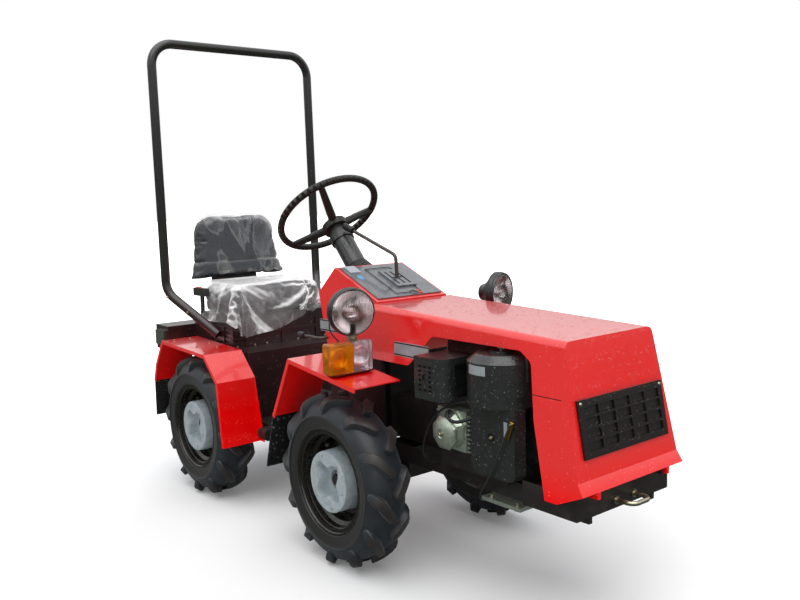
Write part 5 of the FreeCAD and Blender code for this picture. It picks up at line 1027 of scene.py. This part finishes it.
choke_rod = bent("choke_rod", [
    lever_top + Vector((-0.002, -0.007, -0.006)),
    Vector((intake_high.x - 0.045, intake_low.y - 0.012, intake_low.z + 0.100)),
    Vector((mount_low.x + 0.070, intake_low.y - 0.010, intake_low.z - 0.010)),
    Vector((mount_low.x + 0.014, mount_low.y - 0.026, mount_high.z + 0.014)),
    Vector((mount_low.x + 0.002, mount_low.y - 0.004, mount_low.z - 0.008)),
    Vector((mount_low.x + 0.004, mount_low.y + 0.012, mount_low.z - 0.002))], 0.0026, bare_steel)

head_low, head_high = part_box("cylinder_head")
elbow = bent("elbow", [
    Vector((head_low.x + 0.085, head_low.y + 0.024, head_high.z - 0.012)),
    Vector((head_low.x + 0.090, head_low.y - 0.004, head_high.z + 0.004)),
    Vector((head_low.x + 0.100, head_low.y - 0.016, head_high.z - 0.016)),
    Vector((head_low.x + 0.125, head_low.y - 0.014, head_high.z - 0.028)),
    Vector((head_low.x + 0.160, head_low.y - 0.004, head_high.z - 0.020)),
    Vector((intake_low.x + 0.002, intake_low.y + 0.006, head_high.z - 0.008))], 0.0055,
    moulded_rubber)
collar = spun("collar", [(0, 0.0055), (0, 0.0085), (0.016, 0.0085), (0.016, 0.0055)], 20,
              bare_steel)
moved(collar, Vector((head_low.x + 0.087, head_low.y + 0.004, head_high.z - 0.003)),
      Matrix.Rotation(math.radians(-35), 3, "X"))

engine_fittings = joined("engine_fittings", [
    label, stud_top, clip, cup, choke_label, lever_plate, pivot_pin, choke_rod, elbow, collar])
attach(engine_fittings, "front_half")

muffler_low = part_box("muffler")[0]
bolted("engine_bolts", "front_half", [
    ("muffler", (1.2, muffler_low.y + 0.078, muffler_low.z + 0.045), (-1, 0, 0)),
    ("intake_cover", (intake_low.x + 0.087, -1.0, intake_low.z + 0.122), (0, 1, 0)),
    ("engine_mount", (mount_low.x + 0.030, mount_low.y + 0.014, 0.6), (0, 0, -1)),
    ("engine_mount", (mount_high.x - 0.022, mount_low.y + 0.014, 0.6), (0, 0, -1)),
], across=0.0075, height=0.007)

# rocker cover: a domed, eight-sided lid of pressed steel over the fins, and its one bolt
cover_half = 0.43 * (head_high.z - head_low.z)
cover = spun("cover", [(-0.004, 0), (-0.004, cover_half), (0.004, cover_half),
                       (0.010, cover_half - 0.006), (0.017, cover_half - 0.020),
                       (0.020, 0.016), (0.017, 0.012), (0.017, 0)], 8, cast_alloy)
cover.data.transform(Matrix.Rotation(math.pi / 8, 4, "Y"))
cover_bolt = moved(hex_bolt(0.0100, 0.009, 0.002, zinc_plate), Vector((0, 0.0168, 0)))
rocker_cover = joined("rocker_cover", [cover, cover_bolt])
moved(rocker_cover, Vector(((head_low.x + head_high.x) / 2 - 0.004, head_low.y - 0.001,
                            (head_low.z + head_high.z) / 2 - 0.008)),
      Matrix.Rotation(math.pi, 3, "Z"))
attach(rocker_cover, "front_half")


# ---------------------------------------------------------------- dash, wheel and levers
# A grey crackle-enamelled dash with blank labels, a moulded steering wheel with finger
# grips under its rim, two steel levers with plastic grips, and a latch ring at the hood.

# crackle enamel: mid grey, rough, with flat rain drops lying on it
dash_grey, tree, shader, place = new_material("dash_grey", "#5E6268", 0.42)
crackle = add(tree, "ShaderNodeTexVoronoi", {"Vector": place, "Scale": 1 / 0.0035})
colour = clouded(tree, shader, place, size=0.04, detail=5.0, dark="#3F4347", light="#7C8087")
speckled(tree, shader, place, colour, cell=0.009, share=0.3, pale="#2A2C2F")
rough = add(tree, "ShaderNodeBump", {"Strength": 0.4, "Distance": 0.0006,
                                     "Height": crackle.outputs[0]})
tree.links.new(rough.outputs[0], shader.inputs["Normal"])
shader.inputs["Coat Weight"].default_value = 0.8
shader.inputs["Coat Roughness"].default_value = 0.1
beaded(tree, shader, place, cell=0.007, share=0.7, depth=0.0022)
dress(dash_grey, "dash_plate")
eased(0.0015, "dash_plate")


def turn_axis(joint):
    """Where a joint's axis passes, and its direction, as the record gives them."""
    for entry in record["behaviour"]["joints"]:
        if entry["name"] == joint:
            return Vector(entry["pos_m"]), Vector(entry["axis"]).normalized()


grips_round, grips_from_radius = 52.0, 0.19
# moulded plastic with an olive tinge: grips ripple its rim where fingers close round it
grip_black, tree, shader, place = new_material("grip_black", "#191916", 0.4)
hub_spot, hub_way = turn_axis("steering_turn")
to_hub = add(tree, "ShaderNodeVectorMath", {0: place, 1: tuple(hub_spot)}, operation="SUBTRACT")
tip_over = Vector((0, 0, 1)).rotation_difference(hub_way).inverted().to_euler()
levelled = add(tree, "ShaderNodeVectorRotate", {"Vector": to_hub.outputs[0],
                                                "Rotation": tuple(tip_over)},
               rotation_type="EULER_XYZ")
spread = add(tree, "ShaderNodeSeparateXYZ", {0: levelled.outputs[0]})
bearing = add(tree, "ShaderNodeMath", {0: spread.outputs[1], 1: spread.outputs[0]},
              operation="ARCTAN2")
waves = add(tree, "ShaderNodeMath", {0: bearing.outputs[0], 1: grips_round},
            operation="MULTIPLY")
waves = add(tree, "ShaderNodeMath", {0: waves.outputs[0]}, operation="SINE")
outward = add(tree, "ShaderNodeVectorMath", {0: levelled.outputs[0], 1: (1.0, 1.0, 0.0)},
              operation="MULTIPLY")
reach = add(tree, "ShaderNodeVectorMath", {0: outward.outputs[0]}, operation="LENGTH")
on_rim = add(tree, "ShaderNodeMath", {0: reach.outputs["Value"], 1: grips_from_radius},
             operation="GREATER_THAN")
ripple = add(tree, "ShaderNodeMath", {0: waves.outputs[0], 1: on_rim.outputs[0]},
             operation="MULTIPLY")
bump = add(tree, "ShaderNodeBump", {"Strength": 0.9, "Distance": 0.004,
                                    "Height": ripple.outputs[0]})
tree.links.new(bump.outputs[0], shader.inputs["Normal"])
clouded(tree, shader, place, size=0.03, detail=5.0, dark="#10110F", light="#2A2822")
dress(grip_black, "steering_wheel")


def lever_stuff(name, grip_x):
    """Brownish bare steel ahead of a place along X, and black plastic behind it."""
    edge = 0.001
    stuff, tree, shader, place = new_material(name, "#4C4641", 0.38)
    axes = add(tree, "ShaderNodeSeparateXYZ", {0: place})
    part = add(tree, "ShaderNodeMapRange", {0: axes.outputs[0], 1: grip_x - edge,
                                            2: grip_x + edge, 3: 0.0, 4: 1.0})
    dull = add(tree, "ShaderNodeTexNoise", {"Vector": place, "Scale": 1 / 0.015, "Detail": 4.0})
    rod = add(tree, "ShaderNodeMix", {0: dull.outputs[0], 6: tone("#2E2A28"), 7: tone("#6B645E")},
              data_type="RGBA")
    colour = add(tree, "ShaderNodeMix", {0: part.outputs[0], 6: tone("#131414"),
                                         7: rod.outputs[2]}, data_type="RGBA")
    tree.links.new(colour.outputs[2], shader.inputs["Base Color"])
    metal = add(tree, "ShaderNodeMath", {0: part.outputs[0], 1: 0.5}, operation="MULTIPLY")
    tree.links.new(metal.outputs[0], shader.inputs["Metallic"])
    return stuff


for lever, grip_length in (("gear_lever", 0.062), ("side_lever", 0.036)):
    dress(lever_stuff(lever + "_steel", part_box(lever)[0].x + grip_length), lever)

# printed labels without words: one pale card, and one pale blue round-ended one
pale_card, tree, shader, place = new_material("pale_card", "#B9BEC2", 0.4)
clouded(tree, shader, place, size=0.006, detail=3.0, dark="#A5ABAF", light="#C9CED1")
blue_card, tree, shader, place = new_material("blue_card", "#4FA6D8", 0.3)
clouded(tree, shader, place, size=0.006, detail=3.0, dark="#3F97CC", light="#74BCE2")
# red enamel on the latch's tab: orange-red, brighter than the body
tab_red, tree, shader, place = new_material("tab_red", "#E2401C", 0.3)
clouded(tree, shader, place, size=0.005, detail=3.0, dark="#C22A12", light="#F0602A")


def on_dash(x, y):
    """The spot on the dash's top below a place, and the way its face looks."""
    return met("dash_plate", (x, y, 1.5), (0, 0, -1))


card = plain_box("card", (-0.026, 0, -0.024), (0.026, 0.0006, 0.024), pale_card)
oval = spun("oval", [(0, 0), (0, 0.014), (0.0006, 0.014), (0.0006, 0)], 32, blue_card)
oval.data.transform(Matrix.Diagonal((1.3, 1, 0.8, 1)))
trim = [laid(card, *on_dash(0.017, -0.106)), laid(oval, *on_dash(0.080, -0.115))]
border_long, border_wide = 0.205, 0.118
spot, normal = on_dash(0.125, 0.003)
for sign in (-1, 1):
    for length, shift, way in ((border_long, border_wide / 2, 0),
                               (border_wide, border_long / 2, 1)):
        bar = plain_box("line", (-length / 2, -0.0010, -0.0011), (length / 2, 0.0009, 0.0011),
                        printed_black)
        bar.data.transform(Matrix.Rotation(math.pi / 2 * way, 4, "Y"))
        bar.data.transform(Matrix.Translation(
            (0, 0, shift * sign) if way == 0 else (shift * sign, 0, 0)))
        trim.append(laid(bar, spot, normal))
ring = spun("ring", [(0.0016 * math.sin(a), 0.015 + 0.0016 * math.cos(a))
                     for a in (k * math.pi / 4 for k in range(8))], 32, bare_steel, closed=True)
spot, normal = on_dash(0.218, 0.028)
trim.append(laid(ring, spot + normal * 0.0016, normal))
tab = soft_box("tab", (-0.012, 0, -0.009), (0.012, 0.003, 0.009), 0.0014, tab_red)
trim.append(laid(tab, spot + Vector((0.0, 0.026, 0.0)), normal))
dash_trim = joined("dash_trim", trim)
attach(dash_trim, "front_half")


# ---------------------------------------------------------------- rear body and flaps
# Seat deck, rear box and roll bar of welded sheet and tube in dark enamel, rubber flaps
# under the fenders, smoked tail lamps, the bolts of all these, and the belt's button.

# old maroon enamel: almost black, warm where the light grazes it, wet and beaded
maroon_black, tree, shader, place = new_material("maroon_black", "#2A1618", 0.36)
colour = clouded(tree, shader, place, size=0.07, detail=6.0, dark="#160D0E", light="#3A1E20")
# pale dots: painted glints of sky on the drops
speckled(tree, shader, place, colour, cell=0.010, share=0.16, pale="#574B4A")
shader.inputs["Coat Weight"].default_value = 0.6
shader.inputs["Coat Roughness"].default_value = 0.2
beaded(tree, shader, place, cell=0.012, share=0.35, depth=0.002)
dress(maroon_black, "seat_box", "cargo_box")
dress(wet_black, "belt_buckle")
eased(0.0015, "seat_box", "cargo_box")

# the roll bar's satin black, greenish with wet, going maroon low down: a painted reflection
# of the red fenders
bar_black, tree, shader, place = new_material("bar_black", "#1B1D1A", 0.34)
axes = add(tree, "ShaderNodeSeparateXYZ", {0: place})
red_reflection_low = add(tree, "ShaderNodeMapRange", {0: axes.outputs[2], 1: 0.95, 2: 0.8, 3: 0.0, 4: 1.0})
toned(tree, shader, red_reflection_low.outputs[0], "#1A1D1A", "#2B1617")
shader.inputs["Coat Weight"].default_value = 0.5
beaded(tree, shader, place, cell=0.009, share=0.5, depth=0.002)
dress(bar_black, "roll_bar")

# reinforced rubber sheet: matt black with pale grit and small drops thrown on it, with a
# painted glint of sky as a pale dot on some drops
flap_rubber, tree, shader, place = new_material("flap_rubber", "#17181A", 0.6)
grit = add(tree, "ShaderNodeTexNoise", {"Vector": place, "Scale": 1 / 0.004, "Detail": 4.0})
pale = add(tree, "ShaderNodeMapRange", {0: grit.outputs[0], 1: 0.58, 2: 0.7, 3: 0.0, 4: 1.0})
colour = toned(tree, shader, pale.outputs[0], "#101112", "#4A4C4C")
speckled(tree, shader, place, colour, cell=0.009, share=0.45, pale="#6E706C")
beaded(tree, shader, place, cell=0.008, share=0.6, depth=0.002, sockets=("Normal",),
       strength=0.8)
dress(flap_rubber, "front_flaps", "rear_flaps")

# smoked acrylic over a grey case: olive-grey under a wet gloss, ribbed behind its face
smoked_grey, tree, shader, place = new_material("smoked_grey", "#2E332C", 0.2)
axes = add(tree, "ShaderNodeSeparateXYZ", {0: place})
# the ribs are drawn as painted stripes of light and shade
shade = add(tree, "ShaderNodeMapRange", {0: ribbed(tree, axes.outputs[2], 0.006),
                                         1: -1.0, 2: 1.0, 3: 0.0, 4: 1.0})
toned(tree, shader, shade.outputs[0], "#262A24", "#4A4F46")
shader.inputs["Coat Weight"].default_value = 1.0
shader.inputs["Coat Roughness"].default_value = 0.05
dress(smoked_grey, "tail_lamps")
eased(0.002, "tail_lamps")

bpy.context.view_layer.update()
rear_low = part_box("rear_fenders")[0]
bolt_row_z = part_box("seat_box")[1].z - 0.095
# on each fender's top, forward of its rear end and out from the middle; then along the
# front of the seat deck, out from the middle
rear_places = [("rear_fenders", (rear_low.x + ahead, out * side, 1.2), (0, 0, -1))
               for side in (-1, 1) for ahead, out in (
                   (0.150, 0.405), (0.150, 0.330), (0.300, 0.310), (0.345, 0.395),
                   (0.400, 0.325))]
rear_places += [("seat_box", (0.5, out * side, bolt_row_z), (-1, 0, 0))
                for side in (-1, 1) for out in (0.082, 0.144, 0.231)]
bolted("rear_bolts", "rear_half", rear_places, across=0.0058, height=0.004)

bolted("bar_bolts", "rear_half", [
    ("roll_bar", (x, side * 1.0, z), (0, -side, 0))
    for side in (-1, 1) for x, z in ((-0.985, 0.857), (-0.900, 0.790))],
    across=0.0068, height=0.006)

bolted("fender_bolts", "front_half", [
    ("front_fenders", (x, y * side, z), (0, 0, -1))
    for side in (-1, 1) for x, y, z in ((0.02, 0.31, 1.0), (0.30, 0.31, 0.70))],
    across=0.0056, height=0.004)

# moulded red plastic of the button on the belt's buckle: glossy, a little uneven
button_red, tree, shader, place = new_material("button_red", "#D8202A", 0.28)
clouded(tree, shader, place, size=0.006, detail=3.0, dark="#B8141E", light="#EE4048")
buckle_low, buckle_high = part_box("belt_buckle")
button = soft_box("buckle_button",
                  (buckle_low.x + 0.012, buckle_low.y + 0.005, buckle_high.z - 0.002),
                  (buckle_low.x + 0.050, buckle_high.y - 0.007, buckle_high.z + 0.004),
                  0.002, button_red)
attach(button, "rear_half")


# ---------------------------------------------------------------- seat
# Driver's seat: a back pad and a cushion of moulded foam under dark artificial leather,
# bolted to a steel pan, both still in the thin film that they were delivered in.
def settled(item, frames):
    """Run a piece's simulation for some frames, and keep the shape that it ends in."""
    for frame_number in range(1, frames + 1):
        scene.frame_set(frame_number)
    applied(item)
    scene.frame_set(1)


def finer(item):
    """Divide a piece's faces once and smooth it."""
    rounding = item.modifiers.new("finer", "SUBSURF")
    rounding.levels = 1
    rounding.render_levels = 1
    applied(item)
    item.data.shade_smooth()


def stuffed(name, source, swell, cap, voxel):
    """A pad grown from a plain solid: remeshed, blown up as cloth within a cap, smoothed."""
    pad = mesh_object(name, [], [])
    pad.data = nodes[source].data.copy()
    pad.data.transform(nodes[source].matrix_world)
    pad.data.materials.clear()
    low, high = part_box(source)
    middle = (low + high) / 2
    shrink = Matrix.Diagonal([1 - 2 * swell / (b - a) for a, b in zip(low, high)])
    pad.data.transform(Matrix.Translation(middle) @ shrink.to_4x4() @ Matrix.Translation(-middle))
    grid = pad.modifiers.new("grid", "REMESH")
    grid.mode = "VOXEL"
    grid.voxel_size = voxel
    applied(pad)
    start = [vertex.co.copy() for vertex in pad.data.vertices]
    cloth = pad.modifiers.new("foam", "CLOTH")
    cloth.settings.quality = 4
    cloth.settings.mass = 0.3
    cloth.settings.tension_stiffness = 22
    cloth.settings.compression_stiffness = 22
    cloth.settings.use_pressure = True
    cloth.settings.uniform_pressure_force = 4.0
    cloth.settings.effector_weights.gravity = 0.0
    settled(pad, 20)
    for vertex, place in zip(pad.data.vertices, start):
        step = vertex.co - place
        if step.length > cap:
            vertex.co = place + step * (cap / step.length)
    finer(pad)
    return pad


def pressed_in(pad, depth, width, line):
    """Press a seam into a pad where a line, a signed distance in metres, is near nought."""
    pushes = []
    for vertex in pad.data.vertices:
        near = line(vertex.co)
        pushes.append(vertex.normal * (depth * math.exp(-(near / width) ** 2)))
    for vertex, push in zip(pad.data.vertices, pushes):
        vertex.co -= push


# artificial leather over foam: blue-black, fine grain, a soft broad shine
seat_leather, tree, shader, place = new_material("seat_leather", "#262B31", 0.45)
clouded(tree, shader, place, size=0.06, detail=4.0, dark="#1E2227", light="#343B43")
grain = add(tree, "ShaderNodeTexVoronoi", {"Vector": place, "Scale": 1 / 0.0022})
bump = add(tree, "ShaderNodeBump", {"Strength": 0.25, "Distance": 0.0005,
                                    "Height": grain.outputs[0]})
tree.links.new(bump.outputs[0], shader.inputs["Normal"])

cushion_low, cushion_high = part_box("seat_cushion")
back_low, back_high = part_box("seat_back")
cushion_pad = stuffed("cushion_pad", "seat_cushion", swell=0.012, cap=0.016, voxel=0.006)
seam_z = cushion_low.z + 0.42 * (cushion_high.z - cushion_low.z)
pressed_in(cushion_pad, depth=0.004, width=0.005, line=lambda spot: spot.z - seam_z)
pressed_in(cushion_pad, depth=0.005, width=0.006,
           line=lambda spot: (abs(spot.y) - 0.15) if spot.z > seam_z else 1.0)
cushion_pad.data.materials.append(seat_leather)
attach(cushion_pad, "rear_half")
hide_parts("seat_cushion")

back_pad = stuffed("back_pad", "seat_back", swell=0.012, cap=0.016, voxel=0.006)
fold_z = back_low.z + 0.30 * (back_high.z - back_low.z)
pressed_in(back_pad, depth=0.005, width=0.007, line=lambda spot: spot.z - fold_z)
crown, broader = 0.014, 1.045
for vertex in back_pad.data.vertices:
    up = max(0.0, (vertex.co.z - fold_z) / (back_high.z - fold_z))
    middle = max(0.0, 1.0 - (vertex.co.y / 0.20) ** 2)
    vertex.co.z += crown * up * up * middle
    vertex.co.y *= broader
back_pad.data.materials.append(seat_leather)
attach(back_pad, "rear_half")
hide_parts("seat_back")


# thin polythene: nearly clear seen square on, milkier where it turns away or creases, with
# painted sky light where it faces up, painted highlights on crease crests and a faint painted glow
def film_material(name, thin, thick, sky_light_on_top, crease, crest_highlight):
    """Clear film whose milkiness runs from thin, seen square on, to thick, seen aslant."""
    stuff, tree, shader, place = new_material(name, "#FDFCFA", 0.15)
    # a faint painted glow: the film gives off a little light of its own
    shader.inputs["Emission Color"].default_value = tone("#F4EFEA")
    shader.inputs["Emission Strength"].default_value = 0.15
    slope = add(tree, "ShaderNodeLayerWeight", {"Blend": 0.35})
    stretch = add(tree, "ShaderNodeMapping", {"Vector": place, "Scale": (1.0, 1.0, 0.35)})
    creases = add(tree, "ShaderNodeTexNoise", {"Vector": stretch.outputs[0], "Scale": 1 / crease,
                                               "Detail": 2.0, "Distortion": 1.0})
    ridge = add(tree, "ShaderNodeMapRange", {0: creases.outputs[0], 1: 0.46, 2: 0.62,
                                             3: 0.0, 4: 1.0})
    facing = add(tree, "ShaderNodeSeparateXYZ", {0: add(tree, "ShaderNodeNewGeometry").outputs[1]})
    # painted sky light: the film is whiter where it faces up
    level = add(tree, "ShaderNodeMapRange", {0: facing.outputs[2], 1: 0.35, 2: 0.9, 3: 0.0,
                                             4: sky_light_on_top})
    milky = add(tree, "ShaderNodeMath", {0: slope.outputs["Facing"], 1: ridge.outputs[0],
                                         2: level.outputs[0]}, operation="MULTIPLY_ADD")
    # painted highlight: a whiter line along the crease crests
    crest_highlight_mask = add(tree, "ShaderNodeMath", {0: creases.outputs[0], 1: 0.5, 2: 0.02},
                    operation="COMPARE")
    milky = add(tree, "ShaderNodeMath", {0: crest_highlight_mask.outputs[0], 1: crest_highlight, 2: milky.outputs[0]},
                operation="MULTIPLY_ADD")
    cover = add(tree, "ShaderNodeMapRange", {0: milky.outputs[0], 1: 0.0, 2: 0.8,
                                             3: thin, 4: thick})
    tree.links.new(cover.outputs[0], shader.inputs["Alpha"])
    bump = add(tree, "ShaderNodeBump", {"Strength": 0.35, "Distance": 0.004,
                                        "Height": creases.outputs[0]})
    tree.links.new(bump.outputs[0], shader.inputs["Normal"])
    return stuff


loose_film = film_material("loose_film", thin=0.12, thick=0.9, sky_light_on_top=0.75, crease=0.09,
                           crest_highlight=0.0)
tight_film = film_material("tight_film", thin=0.02, thick=0.6, sky_light_on_top=0.12, crease=0.13,
                           crest_highlight=0.1)


def cut_away(item, pick, kind):
    """Delete what is picked from a piece's mesh, and give the area that is left of it."""
    mesh = bmesh.new()
    mesh.from_mesh(item.data)
    bmesh.ops.delete(mesh, geom=pick(mesh), context=kind)
    mesh.to_mesh(item.data)
    area = sum(face.calc_area() for face in mesh.faces)
    mesh.free()
    return area


def draped_film():
    """The loose film on the cushion: a cloth let down over the pad from its rear edge."""
    width, length, corner, cell = 0.76, 0.55, 0.16, 0.0105
    columns, rows = int(width / cell), int(length / cell)

    def rounded(from_hem, from_side):
        """Whether a spot lies on the film, whose two front corners are cut round."""
        across, along = corner - from_side, corner - from_hem
        return min(across, along) < 0 or math.hypot(across, along) < corner

    rear = cushion_low.x - 0.006
    level_z = cushion_high.z + 0.012
    points = [(rear + length * row / rows, width * (column / columns - 0.5),
               level_z + 0.002 * math.sin(column * 1.7) * math.sin(row * 0.9))
              for row in range(rows + 1) for column in range(columns + 1)]
    faces = [(row * (columns + 1) + column, (row + 1) * (columns + 1) + column,
              (row + 1) * (columns + 1) + column + 1, row * (columns + 1) + column + 1)
             for row in range(rows) for column in range(columns)
             if rounded(length * (rows - row - 0.5) / rows,
                        width * min(column + 0.5, columns - column - 0.5) / columns)]
    film = mesh_object("cushion_film", points, faces)
    flat_area = cut_away(film, lambda mesh: [spot for spot in mesh.verts if not spot.link_faces],
                         "VERTS")
    held = film.vertex_groups.new(name="held")
    held.add([column for column in range(columns + 1)
              if abs(points[column][1]) < 0.2], 1.0, "REPLACE")
    solids = (cushion_pad, nodes["seat_base"], nodes["seat_box"])
    for solid in solids:
        solid.modifiers.new("hard", "COLLISION")
        solid.collision.thickness_outer = 0.003
        solid.collision.cloth_friction = 8.0
    cloth = film.modifiers.new("film", "CLOTH")
    cloth.settings.quality = 6
    cloth.settings.mass = 0.08
    cloth.settings.air_damping = 1.5
    cloth.settings.tension_stiffness = 25
    cloth.settings.compression_stiffness = 25
    cloth.settings.bending_stiffness = 0.25
    cloth.settings.vertex_group_mass = "held"
    cloth.collision_settings.distance_min = 0.003
    settled(film, 45)
    for solid in solids:
        solid.modifiers.remove(solid.modifiers["hard"])
    finer(film)
    film.data.materials.append(loose_film)
    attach(film, "rear_half")


def film_bag():
    """The back's film: a bag drawn over the pad, creased down from its top corners."""
    bag = mesh_object("back_film", [], [])
    bag.data = back_pad.data.copy()
    bag.data.materials.clear()
    bag.data.materials.append(tight_film)
    middle = (back_low + back_high) / 2
    standoff, puckers = 0.0065, 0.0028
    places = []
    for vertex in bag.data.vertices:
        spot = vertex.co
        pull = (math.sin(38 * (spot.z - middle.z) + 30 * abs(spot.y) + 5 * spot.y)
                + 0.6 * math.sin(71 * spot.y - 24 * spot.z))
        places.append(spot + vertex.normal * (standoff + puckers * pull))
    for vertex, place in zip(bag.data.vertices, places):
        vertex.co = place
    flat_area = cut_away(bag, lambda mesh: [
        face for face in mesh.faces
        if face.normal.z < -0.7 and face.calc_center_median().z < fold_z], "FACES")
    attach(bag, "rear_half")


draped_film()
film_bag()


# ---------------------------------------------------------------- cable and lamp wires
# A throttle cable in a black plastic sleeve, bowed out from the governor and back under
# the tank, and one wire from the back of each headlamp down to its fender.
def free_cord(name, points, radius):
    """A cord whose line is drawn smoothly past the points of its route."""
    line = round_line(name, points, radius, around=4, along=12)
    line.materials.append(moulded_rubber)
    item = bpy.data.objects.new(name + "_cord", line)
    scene.collection.objects.link(item)
    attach(item, "front_half")
    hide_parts(name)


bpy.context.view_layer.update()
free_cord("throttle_cable", [
    (0.792, -0.218, 0.641), (0.735, -0.230, 0.637), (0.678, -0.235, 0.615),
    (0.628, -0.236, 0.579), (0.590, -0.236, 0.531), (0.564, -0.236, 0.479),
    (0.549, -0.228, 0.429), (0.547, -0.202, 0.393), (0.552, -0.153, 0.379)],
    radius=0.0035)
wire_steps = [(0, 0, 0), (-0.014, 0.020, -0.013), (-0.008, 0.053, -0.030), (0.006, 0.066, -0.062),
              (0.026, 0.062, -0.086), (0.044, 0.052, -0.101)]
for hand, side in (("right", -1), ("left", 1)):
    lamp_back = Vector((0.26935, 0.33214 * side, 0.8979))
    free_cord(f"lamp_wire_{hand}",
              [lamp_back + Vector((ahead, out * side, up)) for ahead, out, up in wire_steps],
              radius=0.0025)
